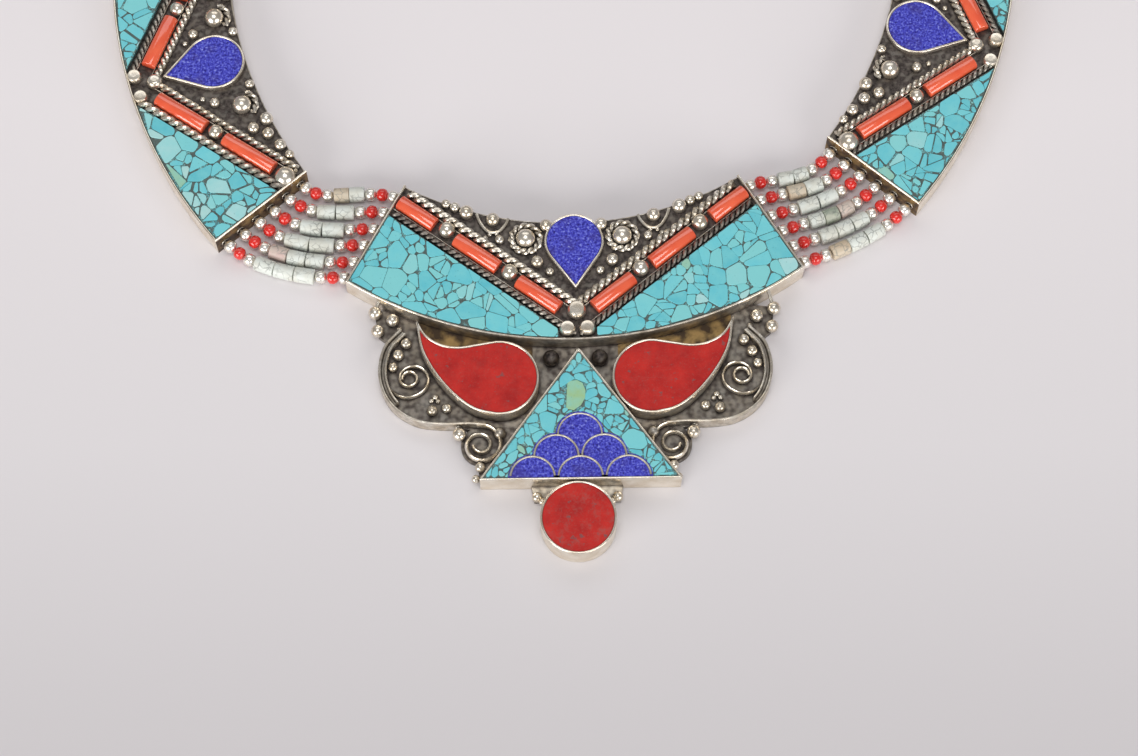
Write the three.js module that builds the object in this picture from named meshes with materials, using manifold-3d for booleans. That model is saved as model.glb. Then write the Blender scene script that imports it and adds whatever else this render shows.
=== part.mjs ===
// Bib necklace: a centre plate with a pendant and two side plates, all inlaid silver, joined by six
// strands of beads on each side and closed behind the neck by six more on each side and a clasp.
// Millimetres, +Z up, lying on its back as on a table. The open neck is towards +Y, the pendant
// points to -Y, and the origin is the middle of the underside of the whole.
import * as THREE from 'three';
import { mergeVertices } from 'three/addons/utils/BufferGeometryUtils.js';
import Module from 'manifold-3d';

const wasm = await Module();
wasm.setup();

// Sizes that all the plates share
const GAP = 0.3;              // clearance between pieces that touch on the real necklace
const THICKNESS = 5.8;        // underside to the top of the rims
const FLOOR = 4.7;            // top of the sheet that carries coral rods and granules
const RIM = 0.5;              // wall round an inlay
const INLAY_DEPTH = 1.8;      // pocket below the rims
const DEG = Math.PI / 180;
const NECK_STEPS = 10;         // straight pieces in a plate's neck edge
const OUTER_STEPS = 11;        // and in its outer edge

// A plate is a curved bar. Its frame has the origin at the middle of the neck edge and +Y to the neck.
const CENTRE = {
  innerRadius: 71.0, outerRadius: 86.1, width: 27.5, innerHalf: 36.0, outerHalf: 48.6,
  apex: 0.834, armEnd: 0.144, dropTop: 1.64, dropRadius: 6.33, dropAside: 0,
  rods: [[0, 0.2], [0.32, 0.56], [0.672, 0.9]],
  studs: [[0.278, 1.5], [0.628, 1.5]],
};
const SIDE = {
  innerRadius: 103.9, outerRadius: 109.9, width: 26.2, innerHalf: 31.7, outerHalf: 41.6,
  apex: 0.918, armEnd: 0.129, dropTop: -0.1, dropRadius: 6.65,
  rods: [[0.11, 0.43], [0.557, 0.87]],
  studs: [[0.04, 2.0], [0.508, 1.5]],
};
const LEFT = { ...SIDE, dropAside: -0.6 };
const RIGHT = { ...SIDE, dropAside: 0.6 };

// Where each plate lies: the middle of its neck edge, and its turn in degrees
const CENTRE_LIES = { x: 0.9, y: 35.9, turn: 2.0 };
const LEFT_LIES = { x: -71.2, y: 76.1, turn: -71.6 };
const RIGHT_LIES = { x: 70.0, y: 84.8, turn: 72.8 };

// Chevron of coral rods and twisted wire, measured off its middle line, the neck side being positive
const ROD_WIDTH = 3.1;
const ROD_HEIGHT = 1.9;
const ROD_BEVEL = 0.35;
const WIRE_BAND = 1.9;        // width of each band of twisted wire beside the rods
const WIRE_HEIGHT = 0.9;
const WIRE_FROM = 0.03;        // share of the arm at which the wire bands begin
const FIELD_SETBACK = 3.9;    // from the middle line of the rods to the turquoise
const FIELD_APART = 4.0;      // from the plate's axis to each turquoise field

// Lapis drop, its round end to the neck and its tip so many radii from the middle of that end
const DROP = { tip: 1.754, rim: 0.45, steps: 10 };

// Granules that shape the outline: across as a share of outerHalf, down as a share of width, radius
const CENTRE_GRANULES = [
  { across: 0.212, down: 0.133, radius: 1.9 },
  { across: 0.469, down: -0.1, radius: 1.4 },
  { across: 0.043, down: 0.9, radius: 1.8 },
];
const SIDE_GRANULES = [
  { across: 0.274, down: 0.145, radius: 1.9 },
  { across: 0.562, down: -0.053, radius: 1.2 },
  { across: 0.065, down: 0.928, radius: 1.7 },
];
const APEX_STUD = { down: 0.76, radius: 2.0 };
const LARGE_GRANULE = 1.85;   // radius from which a granule is given more facets
const GRANULE_RISE = 0.3;     // share of its radius that a granule's middle stands above the floor
const PENDANT_RISE = 0.7;     // and above the pendant's sheet

// Pendant: across as a share of halfWidth, down from the plate's lower edge as a share of drop
const PENDANT = { halfWidth: 41.0, drop: 31.0, turn: -1.2, sheet: 1.4, lean: 0.7 };
const TRIANGLE = { halfBase: 21.0, top: 0.055 };
const DISC = { radius: 7.85, aside: 0.1, steps: 17 };
const SCALES = { radius: 4.4, pitch: 9.86, rise: 4.7, rows: 3, low: 0.5, steps: 11 };
const PAISLEY = { across: 0.388, down: 0.268, headRadius: 8.3 };
const SCROLL_WIRE = { width: 0.9, top: 3.6, inner: 2.7, stepsPerTurn: 8 };

// Paisley: from the head's middle in shares of headRadius. Along the upper side from the tip to
// the head, and along the lower side from the head back to the tip.
const PAISLEY_TIP = [2.11, 1.65];
const PAISLEY_UPPER = [[1.84, 1.18], [1.46, 0.93], [1.04, 0.85], [0.6, 0.91]];
const PAISLEY_LOWER = [[0.6, -0.86], [1.04, -0.55], [1.43, -0.13], [1.76, 0.36], [1.99, 0.89]];
const PAISLEY_HEAD = { from: 78, to: 275, steps: 8 };

// Scrollwork edge from the plate down to the small scroll, then the scrolls
const SCROLL_EDGE = [
  [0.895, -0.12], [0.966, -0.016], [0.995, 0.094], [1.0, 0.203], [0.983, 0.31],
  [0.946, 0.406], [0.885, 0.487], [0.793, 0.548], [0.671, 0.568], [0.549, 0.565],
];
const SHEET_SHOULDER = [[0.0, -0.3], [0.93, -0.3], [1.015, -0.285], [1.03, -0.24], [1.012, -0.1]];
const SHEET_FOOT = [[0.5, 0.85], [0.488, 0.98], [0.0, 1.0]];
const SHEET_ROUND = { share: 1.05, from: 55, to: -85, steps: 7 };
const SCROLLS = [
  { across: 0.849, down: 0.226, outer: 5.0, inner: 2.9, start: -20, turns: -1.2 },
  { across: 0.483, down: 0.703, outer: 4.0, inner: 2.4, start: 67, turns: 1.2 },
];
const PENDANT_GRANULES = [
  { across: 1.029, down: -0.257, radius: 1.3 },
  { across: 0.94, down: -0.204, radius: 1.3 },
  { across: 1.015, down: -0.123, radius: 1.3 },
  { across: 0.59, down: 0.635, radius: 1.35 },
  { across: 0.488, down: 0.868, radius: 1.0 },
  { across: 0.202, down: 1.084, radius: 1.0 },
];
const NECK_SHEET = { halfTop: 9.6, halfFoot: 8.9, length: 3.2 };

// Strands of beads
const STRANDS = 6;
const EDGE_MARGIN = 2.2;      // from a plate's corner to its first strand
const HOLE_HEIGHT = 2.7;      // height of the strands where they enter a plate
const REST_HEIGHT = 1.7;      // height of a strand's axis where it lies on the table
const BEAD_SIDES = 10;
const THREAD_RADIUS = 0.5;
const SILVER = { length: 2.6, radius: 1.38 };
const CORAL = { length: 2.5, radius: 1.42 };
const HOWLITE = { radius: 1.65 };

// Lead lengths from the plates' ends of the cubic that each strand follows, and its howlite beads
const LEFT_ROUTES = [
  { sideLead: 7, centreLead: 9, howlites: 2 },
  { sideLead: 8.5, centreLead: 6, howlites: 2 },
  { sideLead: 10.5, centreLead: 4, howlites: 2 },
  { sideLead: 12, centreLead: 4, howlites: 2 },
  { sideLead: 11.5, centreLead: 1, howlites: 3 },
  { sideLead: 11.5, centreLead: 1, howlites: 3 },
];
const RIGHT_ROUTES = [
  { sideLead: 13, centreLead: 9, howlites: 2 },
  { sideLead: 11.5, centreLead: 8.5, howlites: 2 },
  { sideLead: 10.5, centreLead: 6.5, howlites: 2 },
  { sideLead: 11.5, centreLead: 7.5, howlites: 3 },
  { sideLead: 11, centreLead: 6, howlites: 3 },
  { sideLead: 11, centreLead: 1, howlites: 3 },
];

// Back strands and clasp, behind the neck
const BACK = { radius: 1.45, sides: 8, diametersPerStep: 3, sideLead: 37, claspLead: 34, settle: 11 };
const CLASP = { x: -1.0, y: 178.0, length: 9.0, pitch: 3.4, margin: 2.4, corner: 2.0, steps: 4 };

const MATERIALS = {
  silver: new THREE.MeshStandardMaterial({ color: 0xb9b2a6, metalness: 1.0, roughness: 0.3 }),
  turquoise: new THREE.MeshStandardMaterial({ color: 0x6cc6d0, metalness: 0.0, roughness: 0.35 }),
  coral: new THREE.MeshStandardMaterial({ color: 0xe0512f, metalness: 0.0, roughness: 0.25 }),
  redInlay: new THREE.MeshStandardMaterial({ color: 0xb3261f, metalness: 0.0, roughness: 0.4 }),
  lapis: new THREE.MeshStandardMaterial({ color: 0x3c46b4, metalness: 0.0, roughness: 0.5 }),
  beads: new THREE.MeshStandardMaterial({ color: 0xcfd8d8, metalness: 0.1, roughness: 0.4 }),
};

const necklace = new THREE.Group();

function at(x, y) {
  return new THREE.Vector2(x, y);
}

// A closed three.js geometry as a solid for cutting and joining
function solid(geometry) {
  const bare = geometry.clone();
  bare.deleteAttribute('normal');
  bare.deleteAttribute('uv');
  const merged = mergeVertices(bare);
  return new wasm.Manifold(new wasm.Mesh({
    numProp: 3,
    vertProperties: new Float32Array(merged.attributes.position.array),
    triVerts: new Uint32Array(merged.index.array),
  }));
}

function geometryOf(body) {
  const mesh = body.getMesh();
  const geometry = new THREE.BufferGeometry();
  geometry.setAttribute('position', new THREE.BufferAttribute(new Float32Array(mesh.vertProperties), 3));
  geometry.setIndex(new THREE.BufferAttribute(new Uint32Array(mesh.triVerts), 1));
  geometry.computeVertexNormals();
  return geometry;
}

function unite(bodies) {
  return bodies.reduce((whole, body) => whole.add(body));
}

// Prism over a flat outline from one height to another
function prism(outline, bottom, top) {
  const geometry = new THREE.ExtrudeGeometry(new THREE.Shape(outline), {
    depth: top - bottom, bevelEnabled: false,
  });
  geometry.translate(0, 0, bottom);
  return solid(geometry);
}

function ball(x, y, z, radius) {
  const sides = radius > LARGE_GRANULE ? 10 : 8;
  const geometry = new THREE.SphereGeometry(radius, sides, sides / 2);
  geometry.rotateX(90 * DEG);
  geometry.translate(x, y, z);
  return solid(geometry);
}

function arc(centre, radius, from, to, steps) {
  const points = [];
  for (let i = 0; i <= steps; i += 1) {
    const angle = from + (to - from) * i / steps;
    points.push(at(centre.x + radius * Math.cos(angle), centre.y + radius * Math.sin(angle)));
  }
  return points;
}

function signedArea(loop) {
  return loop.reduce((sum, p, i) => sum + p.cross(loop[(i + 1) % loop.length]), 0) / 2;
}

// Moves every edge of a closed outline inwards, dropping edges that shrink away
function inset(loop, distance) {
  const turn = Math.sign(signedArea(loop));
  let edges = loop.map((p, i) => {
    const along = loop[(i + 1) % loop.length].clone().sub(p).normalize();
    const inwards = at(-along.y, along.x).multiplyScalar(turn);
    return { along, point: p.clone().addScaledVector(inwards, distance) };
  });
  for (;;) {
    const corners = edges.map((edge, i) => {
      const before = edges[(i + edges.length - 1) % edges.length];
      const across = before.along.cross(edge.along);
      const reach = edge.point.clone().sub(before.point).cross(edge.along) / across;
      return before.point.clone().addScaledVector(before.along, reach);
    });
    const kept = edges.filter((edge, i) => {
      const step = corners[(i + 1) % corners.length].clone().sub(corners[i]);
      return step.dot(edge.along) > 0;
    });
    if (kept.length === edges.length) {
      return corners;
    }
    edges = kept;
  }
}

// Flat strip of even width along a line of points
function ribbon(points, width) {
  const sides = [[], []];
  points.forEach((p, i) => {
    const before = points[Math.max(i - 1, 0)];
    const after = points[Math.min(i + 1, points.length - 1)];
    const along = after.clone().sub(before).normalize();
    const across = at(-along.y, along.x).multiplyScalar(width / 2);
    sides[0].push(p.clone().add(across));
    sides[1].push(p.clone().sub(across));
  });
  return [...sides[0], ...sides[1].reverse()];
}

function mirrored(points, side) {
  return points.map((p) => at(p.x * side, p.y));
}

function addPiece(group, name, geometry, material) {
  const mesh = new THREE.Mesh(geometry, material);
  mesh.name = name;
  group.add(mesh);
}

function plateGroup(lies) {
  const group = new THREE.Group();
  group.position.set(lies.x, lies.y, 0);
  group.rotation.z = lies.turn * DEG;
  necklace.add(group);
  return group;
}

// Corners of one end of a plate, on its neck edge and on its outer edge
function plateEnd(plate) {
  const innerDip = plate.innerRadius - Math.sqrt(plate.innerRadius ** 2 - plate.innerHalf ** 2);
  const outerDip = plate.outerRadius - Math.sqrt(plate.outerRadius ** 2 - plate.outerHalf ** 2);
  return { inner: at(plate.innerHalf, innerDip), outer: at(plate.outerHalf, outerDip - plate.width) };
}

// Where the line of a plate's end, moved inwards, meets a circle about a point on the plate's axis
function endMeets(plate, moved, middle, radius) {
  const end = plateEnd(plate);
  const along = end.outer.clone().sub(end.inner).normalize();
  const start = end.inner.clone().add(at(along.y, -along.x).multiplyScalar(moved));
  const offset = start.clone().sub(at(0, middle));
  const half = offset.dot(along);
  const reach = -half + Math.sqrt(half * half - offset.lengthSq() + radius * radius);
  const other = -half - Math.sqrt(half * half - offset.lengthSq() + radius * radius);
  const near = [reach, other].sort((a, b) => Math.abs(a) - Math.abs(b));
  return { start, along, near };
}

function plateOutline(plate, edges) {
  const innerMiddle = plate.innerRadius;
  const outerMiddle = plate.outerRadius - plate.width;
  const innerRadius = plate.innerRadius + edges.inner;
  const outerRadius = plate.outerRadius - edges.outer;
  const onInner = endMeets(plate, edges.end, innerMiddle, innerRadius);
  const innerCorner = onInner.start.clone().addScaledVector(onInner.along, onInner.near[0]);
  const onOuter = endMeets(plate, edges.end, outerMiddle, outerRadius);
  const outerReach = Math.max(...onOuter.near);
  const outerCorner = onOuter.start.clone().addScaledVector(onOuter.along, outerReach);
  const innerAngle = Math.asin(innerCorner.x / innerRadius);
  const outerAngle = Math.asin(outerCorner.x / outerRadius);
  const down = -90 * DEG;
  return [
    ...arc(at(0, innerMiddle), innerRadius, down + innerAngle, down - innerAngle, NECK_STEPS),
    ...arc(at(0, outerMiddle), outerRadius, down - outerAngle, down + outerAngle, OUTER_STEPS),
  ];
}

// A point on one arm of the chevron: a share of the way from the plate's end to the apex, moved
// off the line of the rods, towards the neck when positive
function armPoint(plate, side, share, off) {
  const end = plateEnd(plate);
  const start = end.inner.clone().lerp(end.outer, plate.armEnd);
  const apex = at(0, -plate.apex * plate.width);
  const along = apex.clone().sub(start).normalize();
  const towardsNeck = at(along.y, -along.x);
  const point = start.clone().lerp(apex, share).addScaledVector(towardsNeck, off);
  return at(point.x * side, point.y);
}

function armLength(plate) {
  return armPoint(plate, 1, 0, 0).distanceTo(armPoint(plate, 1, 1, 0));
}

// Share of the arm at which a line beside it reaches a distance from the plate's axis
function armShareAt(plate, off, x) {
  const start = armPoint(plate, 1, 0, off);
  const apex = armPoint(plate, 1, 1, off);
  return (start.x - x) / (start.x - apex.x);
}

// Area beyond the chevron on one side, for a turquoise field
function fieldArea(plate, side, clearance) {
  const setback = -FIELD_SETBACK - clearance;
  const apart = FIELD_APART + clearance;
  const corner = armPoint(plate, 1, armShareAt(plate, setback, apart), setback);
  const far = armPoint(plate, 1, -0.5, setback);
  const reach = 2 * plate.outerHalf;
  return mirrored([
    far, corner, at(apart, -2 * plate.width), at(reach, -2 * plate.width), at(reach, far.y),
  ], side);
}

// Area on the neck side of the turquoise, where the metal floor shows
function chevronArea(plate) {
  const setback = RIM - FIELD_SETBACK;
  const low = armPoint(plate, 1, armShareAt(plate, setback, 0), setback);
  const far = armPoint(plate, 1, -0.5, setback);
  return [low, far, at(far.x, plate.width * 2), at(-far.x, plate.width * 2), at(-far.x, far.y)];
}

function dropOutline(plate, shrink) {
  const centre = at(plate.dropAside, plate.dropTop - plate.dropRadius);
  const radius = plate.dropRadius - shrink;
  const touch = Math.asin(1 / DROP.tip);
  return [
    ...arc(centre, radius, -touch, 180 * DEG + touch, DROP.steps),
    at(centre.x, centre.y - radius * DROP.tip),
  ];
}

function wireBands(plate) {
  const bands = [];
  const edges = [ROD_WIDTH / 2 + GAP, -ROD_WIDTH / 2 - GAP - WIRE_BAND];
  for (const side of [-1, 1]) {
    for (const off of edges) {
      const last = armShareAt(plate, off + WIRE_BAND / 2, 0);
      const strip = [
        armPoint(plate, side, WIRE_FROM, off), armPoint(plate, side, last, off),
        armPoint(plate, side, last, off + WIRE_BAND), armPoint(plate, side, WIRE_FROM, off + WIRE_BAND),
      ];
      bands.push(prism(strip, FLOOR - GAP, FLOOR + WIRE_HEIGHT));
    }
  }
  const walled = plateOutline(plate, { inner: RIM, outer: RIM, end: RIM });
  return unite(bands).intersect(prism(walled, 0, THICKNESS));
}

function plateGranules(plate, table) {
  const balls = [];
  const stand = (point, radius) => {
    balls.push(ball(point.x, point.y, FLOOR + GRANULE_RISE * radius, radius));
  };
  for (const side of [-1, 1]) {
    for (const [share, radius] of plate.studs) {
      stand(armPoint(plate, side, share, 0), radius);
    }
    for (const row of table) {
      stand(at(side * row.across * plate.outerHalf, -row.down * plate.width), row.radius);
    }
  }
  stand(at(0, -APEX_STUD.down * plate.width), APEX_STUD.radius);
  return balls;
}

function plateSolid(plate, granules) {
  const slab = prism(plateOutline(plate, { inner: 0, outer: 0, end: 0 }), 0, THICKNESS);
  const walled = plateOutline(plate, { inner: -2 * RIM, outer: RIM, end: RIM });
  const sunk = prism(walled, FLOOR, 2 * THICKNESS)
    .intersect(prism(chevronArea(plate), FLOOR, 2 * THICKNESS));
  const bezel = prism(dropOutline(plate, 0), 0, THICKNESS);
  return unite([slab.subtract(sunk), bezel, wireBands(plate), ...plateGranules(plate, granules)]);
}

function platePockets(plate) {
  const bottom = THICKNESS - INLAY_DEPTH;
  const room = prism(plateOutline(plate, { inner: RIM, outer: RIM, end: RIM }), bottom, 2 * THICKNESS);
  const fields = [-1, 1].map((side) => room.intersect(
    prism(fieldArea(plate, side, 0), bottom, 2 * THICKNESS)));
  const drop = prism(dropOutline(plate, DROP.rim), bottom, 2 * THICKNESS);
  return unite([...fields, drop]);
}

// Half-round coral rod with bevelled ends, lying on the floor between the wire bands, its ends
// given as shares of the arm that is clear of the plate's end wall
function rod(plate, side, [from, to]) {
  const first = (RIM + 2 * GAP) / armLength(plate);
  const start = armPoint(plate, side, first + from * (1 - first), 0);
  const finish = armPoint(plate, side, first + to * (1 - first), 0);
  const length = start.distanceTo(finish) - 2 * ROD_BEVEL;
  const half = ROD_WIDTH / 2 - ROD_BEVEL;
  const section = new THREE.Shape();
  section.moveTo(-half, ROD_BEVEL);
  section.lineTo(half, ROD_BEVEL);
  section.absellipse(0, ROD_HEIGHT / 3, half, ROD_HEIGHT * 2 / 3 - ROD_BEVEL, 0, Math.PI);
  const geometry = new THREE.ExtrudeGeometry(section, {
    depth: length, curveSegments: 3, bevelEnabled: true, bevelSegments: 1,
    bevelSize: ROD_BEVEL, bevelThickness: ROD_BEVEL,
  });
  geometry.translate(0, 0, -length / 2);
  geometry.rotateX(90 * DEG);
  const along = finish.clone().sub(start);
  geometry.rotateZ(Math.atan2(along.y, along.x) + 90 * DEG);
  geometry.translate((start.x + finish.x) / 2, (start.y + finish.y) / 2, FLOOR + GAP);
  return geometryOf(solid(geometry));
}

function addPlateStones(group, label, plate) {
  const bottom = THICKNESS - INLAY_DEPTH + GAP;
  const clear = RIM + GAP;
  const room = prism(plateOutline(plate, { inner: clear, outer: clear, end: clear }), bottom, THICKNESS);
  for (const side of [-1, 1]) {
    const hand = side < 0 ? 'a' : 'b';
    const field = room.intersect(prism(fieldArea(plate, side, GAP), bottom, THICKNESS));
    addPiece(group, `${label}_turquoise_${hand}`, geometryOf(field), MATERIALS.turquoise);
    plate.rods.forEach((share, i) => {
      addPiece(group, `${label}_coral_rod_${hand}${i + 1}`, rod(plate, side, share), MATERIALS.coral);
    });
  }
  const drop = prism(dropOutline(plate, DROP.rim + GAP), bottom, THICKNESS);
  addPiece(group, `${label}_lapis_drop`, geometryOf(drop), MATERIALS.lapis);
}

// Pendant, in the centre plate's frame before its own slight turn
function pendantPoint(side, across, down) {
  return at(side * across * PENDANT.halfWidth, -CENTRE.width - down * PENDANT.drop);
}

function paisleyOutline(side) {
  const middle = pendantPoint(1, PAISLEY.across, PAISLEY.down);
  const placed = ([x, y]) => at(middle.x + x * PAISLEY.headRadius, middle.y + y * PAISLEY.headRadius);
  const head = PAISLEY_HEAD;
  return mirrored([
    placed(PAISLEY_TIP), ...PAISLEY_UPPER.map(placed),
    ...arc(middle, PAISLEY.headRadius, head.from * DEG, head.to * DEG, head.steps),
    ...PAISLEY_LOWER.map(placed),
  ], side);
}

function triangleOutline() {
  const top = pendantPoint(1, 0, TRIANGLE.top).y;
  const base = pendantPoint(1, 0, 1).y;
  const x = PENDANT.lean;
  return [at(x, top), at(x - TRIANGLE.halfBase, base), at(x + TRIANGLE.halfBase, base)];
}

function discCentre() {
  return at(DISC.aside, pendantPoint(1, 0, 1).y - DISC.radius - GAP);
}

function discOutline(shrink) {
  const last = 360 * DEG * DISC.steps / (DISC.steps + 1);
  return arc(discCentre(), DISC.radius - shrink, 0, last, DISC.steps);
}

// Fish scales in rows above the triangle's base, each row one fewer
function scalesSolid(grow, bottom, top) {
  const foot = pendantPoint(1, 0, 1).y;
  const cut = foot + RIM + GAP - grow;
  const lowest = foot + SCALES.low;
  const last = 360 * DEG * SCALES.steps / (SCALES.steps + 1);
  const discs = [];
  for (let row = 0; row < SCALES.rows; row += 1) {
    const count = SCALES.rows - row;
    for (let i = 0; i < count; i += 1) {
      const x = PENDANT.lean + (i - (count - 1) / 2) * SCALES.pitch;
      const centre = at(x, lowest + row * SCALES.rise);
      discs.push(prism(arc(centre, SCALES.radius + grow, 0, last, SCALES.steps), bottom, top));
    }
  }
  const reach = SCALES.pitch * SCALES.rows;
  const above = [at(-reach, cut), at(reach, cut), at(reach, cut + reach), at(-reach, cut + reach)];
  const x = PENDANT.lean;
  const across = SCALES.pitch * (SCALES.rows - 1) / 2;
  const joint = [at(x - across, lowest), at(x + across, lowest),
    at(x, lowest + SCALES.rise * (SCALES.rows - 1))];
  return unite([...discs, prism(joint, bottom, top)]).intersect(prism(above, bottom, top));
}

function spiral(side, scroll) {
  const middle = pendantPoint(1, scroll.across, scroll.down);
  const steps = Math.round(Math.abs(scroll.turns) * SCROLL_WIRE.stepsPerTurn);
  const points = [];
  for (let i = 0; i <= steps; i += 1) {
    const share = i / steps;
    const angle = scroll.start * DEG + share * scroll.turns * 2 * Math.PI;
    const radius = scroll.outer + (scroll.inner - scroll.outer) * share;
    points.push(at(middle.x + radius * Math.cos(angle), middle.y + radius * Math.sin(angle)));
  }
  return mirrored(points, side);
}

function pendantSheet(side) {
  const low = SCROLLS[1];
  const round = SHEET_ROUND;
  const middle = pendantPoint(1, low.across, low.down);
  const placed = ([across, down]) => pendantPoint(1, across, down);
  return mirrored([
    ...SHEET_SHOULDER.map(placed), ...SCROLL_EDGE.slice(1, -1).map(placed),
    ...arc(middle, low.outer * round.share, round.from * DEG, round.to * DEG, round.steps),
    ...SHEET_FOOT.map(placed),
  ], side);
}

function pendantSolid() {
  const sheet = PENDANT.sheet;
  const pieces = [];
  for (const side of [-1, 1]) {
    const edge = SCROLL_EDGE.map(([across, down]) => pendantPoint(side, across, down));
    pieces.push(prism(pendantSheet(side), 0, sheet));
    pieces.push(prism(ribbon(edge, SCROLL_WIRE.width), 0, SCROLL_WIRE.top));
    for (const scroll of SCROLLS) {
      pieces.push(prism(ribbon(spiral(side, scroll), SCROLL_WIRE.width), sheet / 2, SCROLL_WIRE.inner));
    }
    pieces.push(prism(paisleyOutline(side), 0, THICKNESS));
    for (const row of PENDANT_GRANULES) {
      const point = pendantPoint(side, row.across, row.down);
      pieces.push(ball(point.x, point.y, sheet + row.radius * PENDANT_RISE, row.radius));
    }
  }
  const neck = NECK_SHEET;
  const base = pendantPoint(1, 0, 1).y;
  pieces.push(prism([
    at(-neck.halfTop, base + RIM), at(neck.halfTop, base + RIM),
    at(neck.halfFoot, base - neck.length), at(-neck.halfFoot, base - neck.length),
  ], 0, sheet));
  pieces.push(prism(triangleOutline(), 0, THICKNESS));
  pieces.push(prism(discOutline(0), 0, THICKNESS));
  return unite(pieces);
}

function pendantPockets() {
  const bottom = THICKNESS - INLAY_DEPTH;
  const top = 2 * THICKNESS;
  return unite([
    prism(inset(paisleyOutline(-1), RIM), bottom, top),
    prism(inset(paisleyOutline(1), RIM), bottom, top),
    prism(inset(triangleOutline(), RIM), bottom, top),
    prism(discOutline(RIM), bottom, top),
  ]);
}

function addPendantStones(group) {
  const bottom = THICKNESS - INLAY_DEPTH + GAP;
  const clear = RIM + GAP;
  for (const side of [-1, 1]) {
    const name = side < 0 ? 'paisley_coral_left' : 'paisley_coral_right';
    const stone = prism(inset(paisleyOutline(side), clear), bottom, THICKNESS);
    addPiece(group, name, geometryOf(stone), MATERIALS.redInlay);
  }
  const within = prism(inset(triangleOutline(), clear), bottom, THICKNESS);
  const scales = scalesSolid(0, bottom, THICKNESS).intersect(within);
  const field = within.subtract(scalesSolid(GAP, 0, 2 * THICKNESS));
  addPiece(group, 'pendant_lapis_scales', geometryOf(scales), MATERIALS.lapis);
  addPiece(group, 'pendant_turquoise', geometryOf(field), MATERIALS.turquoise);
  const disc = prism(discOutline(clear), bottom, THICKNESS);
  addPiece(group, 'pendant_coral_disc', geometryOf(disc), MATERIALS.redInlay);
}

function turned(body, degrees) {
  const geometry = geometryOf(body);
  geometry.rotateZ(degrees * DEG);
  return solid(geometry);
}

function addCentre() {
  const group = plateGroup(CENTRE_LIES);
  const metal = plateSolid(CENTRE, CENTRE_GRANULES).add(turned(pendantSolid(), PENDANT.turn));
  const pockets = platePockets(CENTRE).add(turned(pendantPockets(), PENDANT.turn));
  addPiece(group, 'centre_body', geometryOf(metal.subtract(pockets)), MATERIALS.silver);
  addPlateStones(group, 'centre', CENTRE);
  const pendant = new THREE.Group();
  pendant.rotation.z = PENDANT.turn * DEG;
  group.add(pendant);
  addPendantStones(pendant);
}

function addSide(label, plate, lies) {
  const group = plateGroup(lies);
  const metal = plateSolid(plate, SIDE_GRANULES).subtract(platePockets(plate));
  addPiece(group, `${label}_body`, geometryOf(metal), MATERIALS.silver);
  addPlateStones(group, label, plate);
}

// Point and outward direction of a strand on a plate's end, in the necklace's frame
function strandEnd(plate, lies, side, index) {
  const end = plateEnd(plate);
  const length = end.inner.distanceTo(end.outer);
  const share = (EDGE_MARGIN + (length - 2 * EDGE_MARGIN) * index / (STRANDS - 1)) / length;
  const point = end.inner.clone().lerp(end.outer, share);
  const along = end.outer.clone().sub(end.inner).normalize();
  const outwards = at(-along.y, along.x);
  const origin = at(0, 0);
  point.set(point.x * side, point.y).rotateAround(origin, lies.turn * DEG);
  outwards.set(outwards.x * side, outwards.y).rotateAround(origin, lies.turn * DEG);
  return { point: point.add(at(lies.x, lies.y)), outwards };
}

// Height of a strand at a distance from its nearer end: it comes down from the hole to the table
function strandHeight(distance, settle) {
  const share = Math.min(distance / settle, 1);
  const eased = share * share * (3 - 2 * share);
  return HOLE_HEIGHT + (REST_HEIGHT - HOLE_HEIGHT) * eased;
}

function strandCurve(from, to, fromLead, toLead, settle) {
  const flat = new THREE.CubicBezierCurve(
    from.point, from.point.clone().addScaledVector(from.outwards, fromLead),
    to.point.clone().addScaledVector(to.outwards, toLead), to.point,
  );
  const length = flat.getLength();
  const steps = Math.max(8, Math.round(length / 4));
  const points = [];
  for (let i = 0; i <= steps; i += 1) {
    const distance = GAP + (length - 2 * GAP) * i / steps;
    const p = flat.getPointAt(distance / length);
    points.push(new THREE.Vector3(p.x, p.y, strandHeight(Math.min(distance, length - distance), settle)));
  }
  return new THREE.CatmullRomCurve3(points);
}

// Rings of one bead, as shares of its length and of its radius
const ROUND_PROFILE = [[0, 0.4], [0.24, 0.95], [0.76, 0.95]];
const TUBE_PROFILE = [[0, 0.4], [0.03, 1.0], [0.97, 1.0]];

function beadRow(howlites) {
  const silver = { ...SILVER, profile: ROUND_PROFILE };
  const coral = { ...CORAL, profile: ROUND_PROFILE };
  const tubes = Array.from({ length: howlites }, () => ({ ...HOWLITE, profile: TUBE_PROFILE }));
  return [silver, coral, silver, ...tubes, silver, coral, silver];
}

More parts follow.
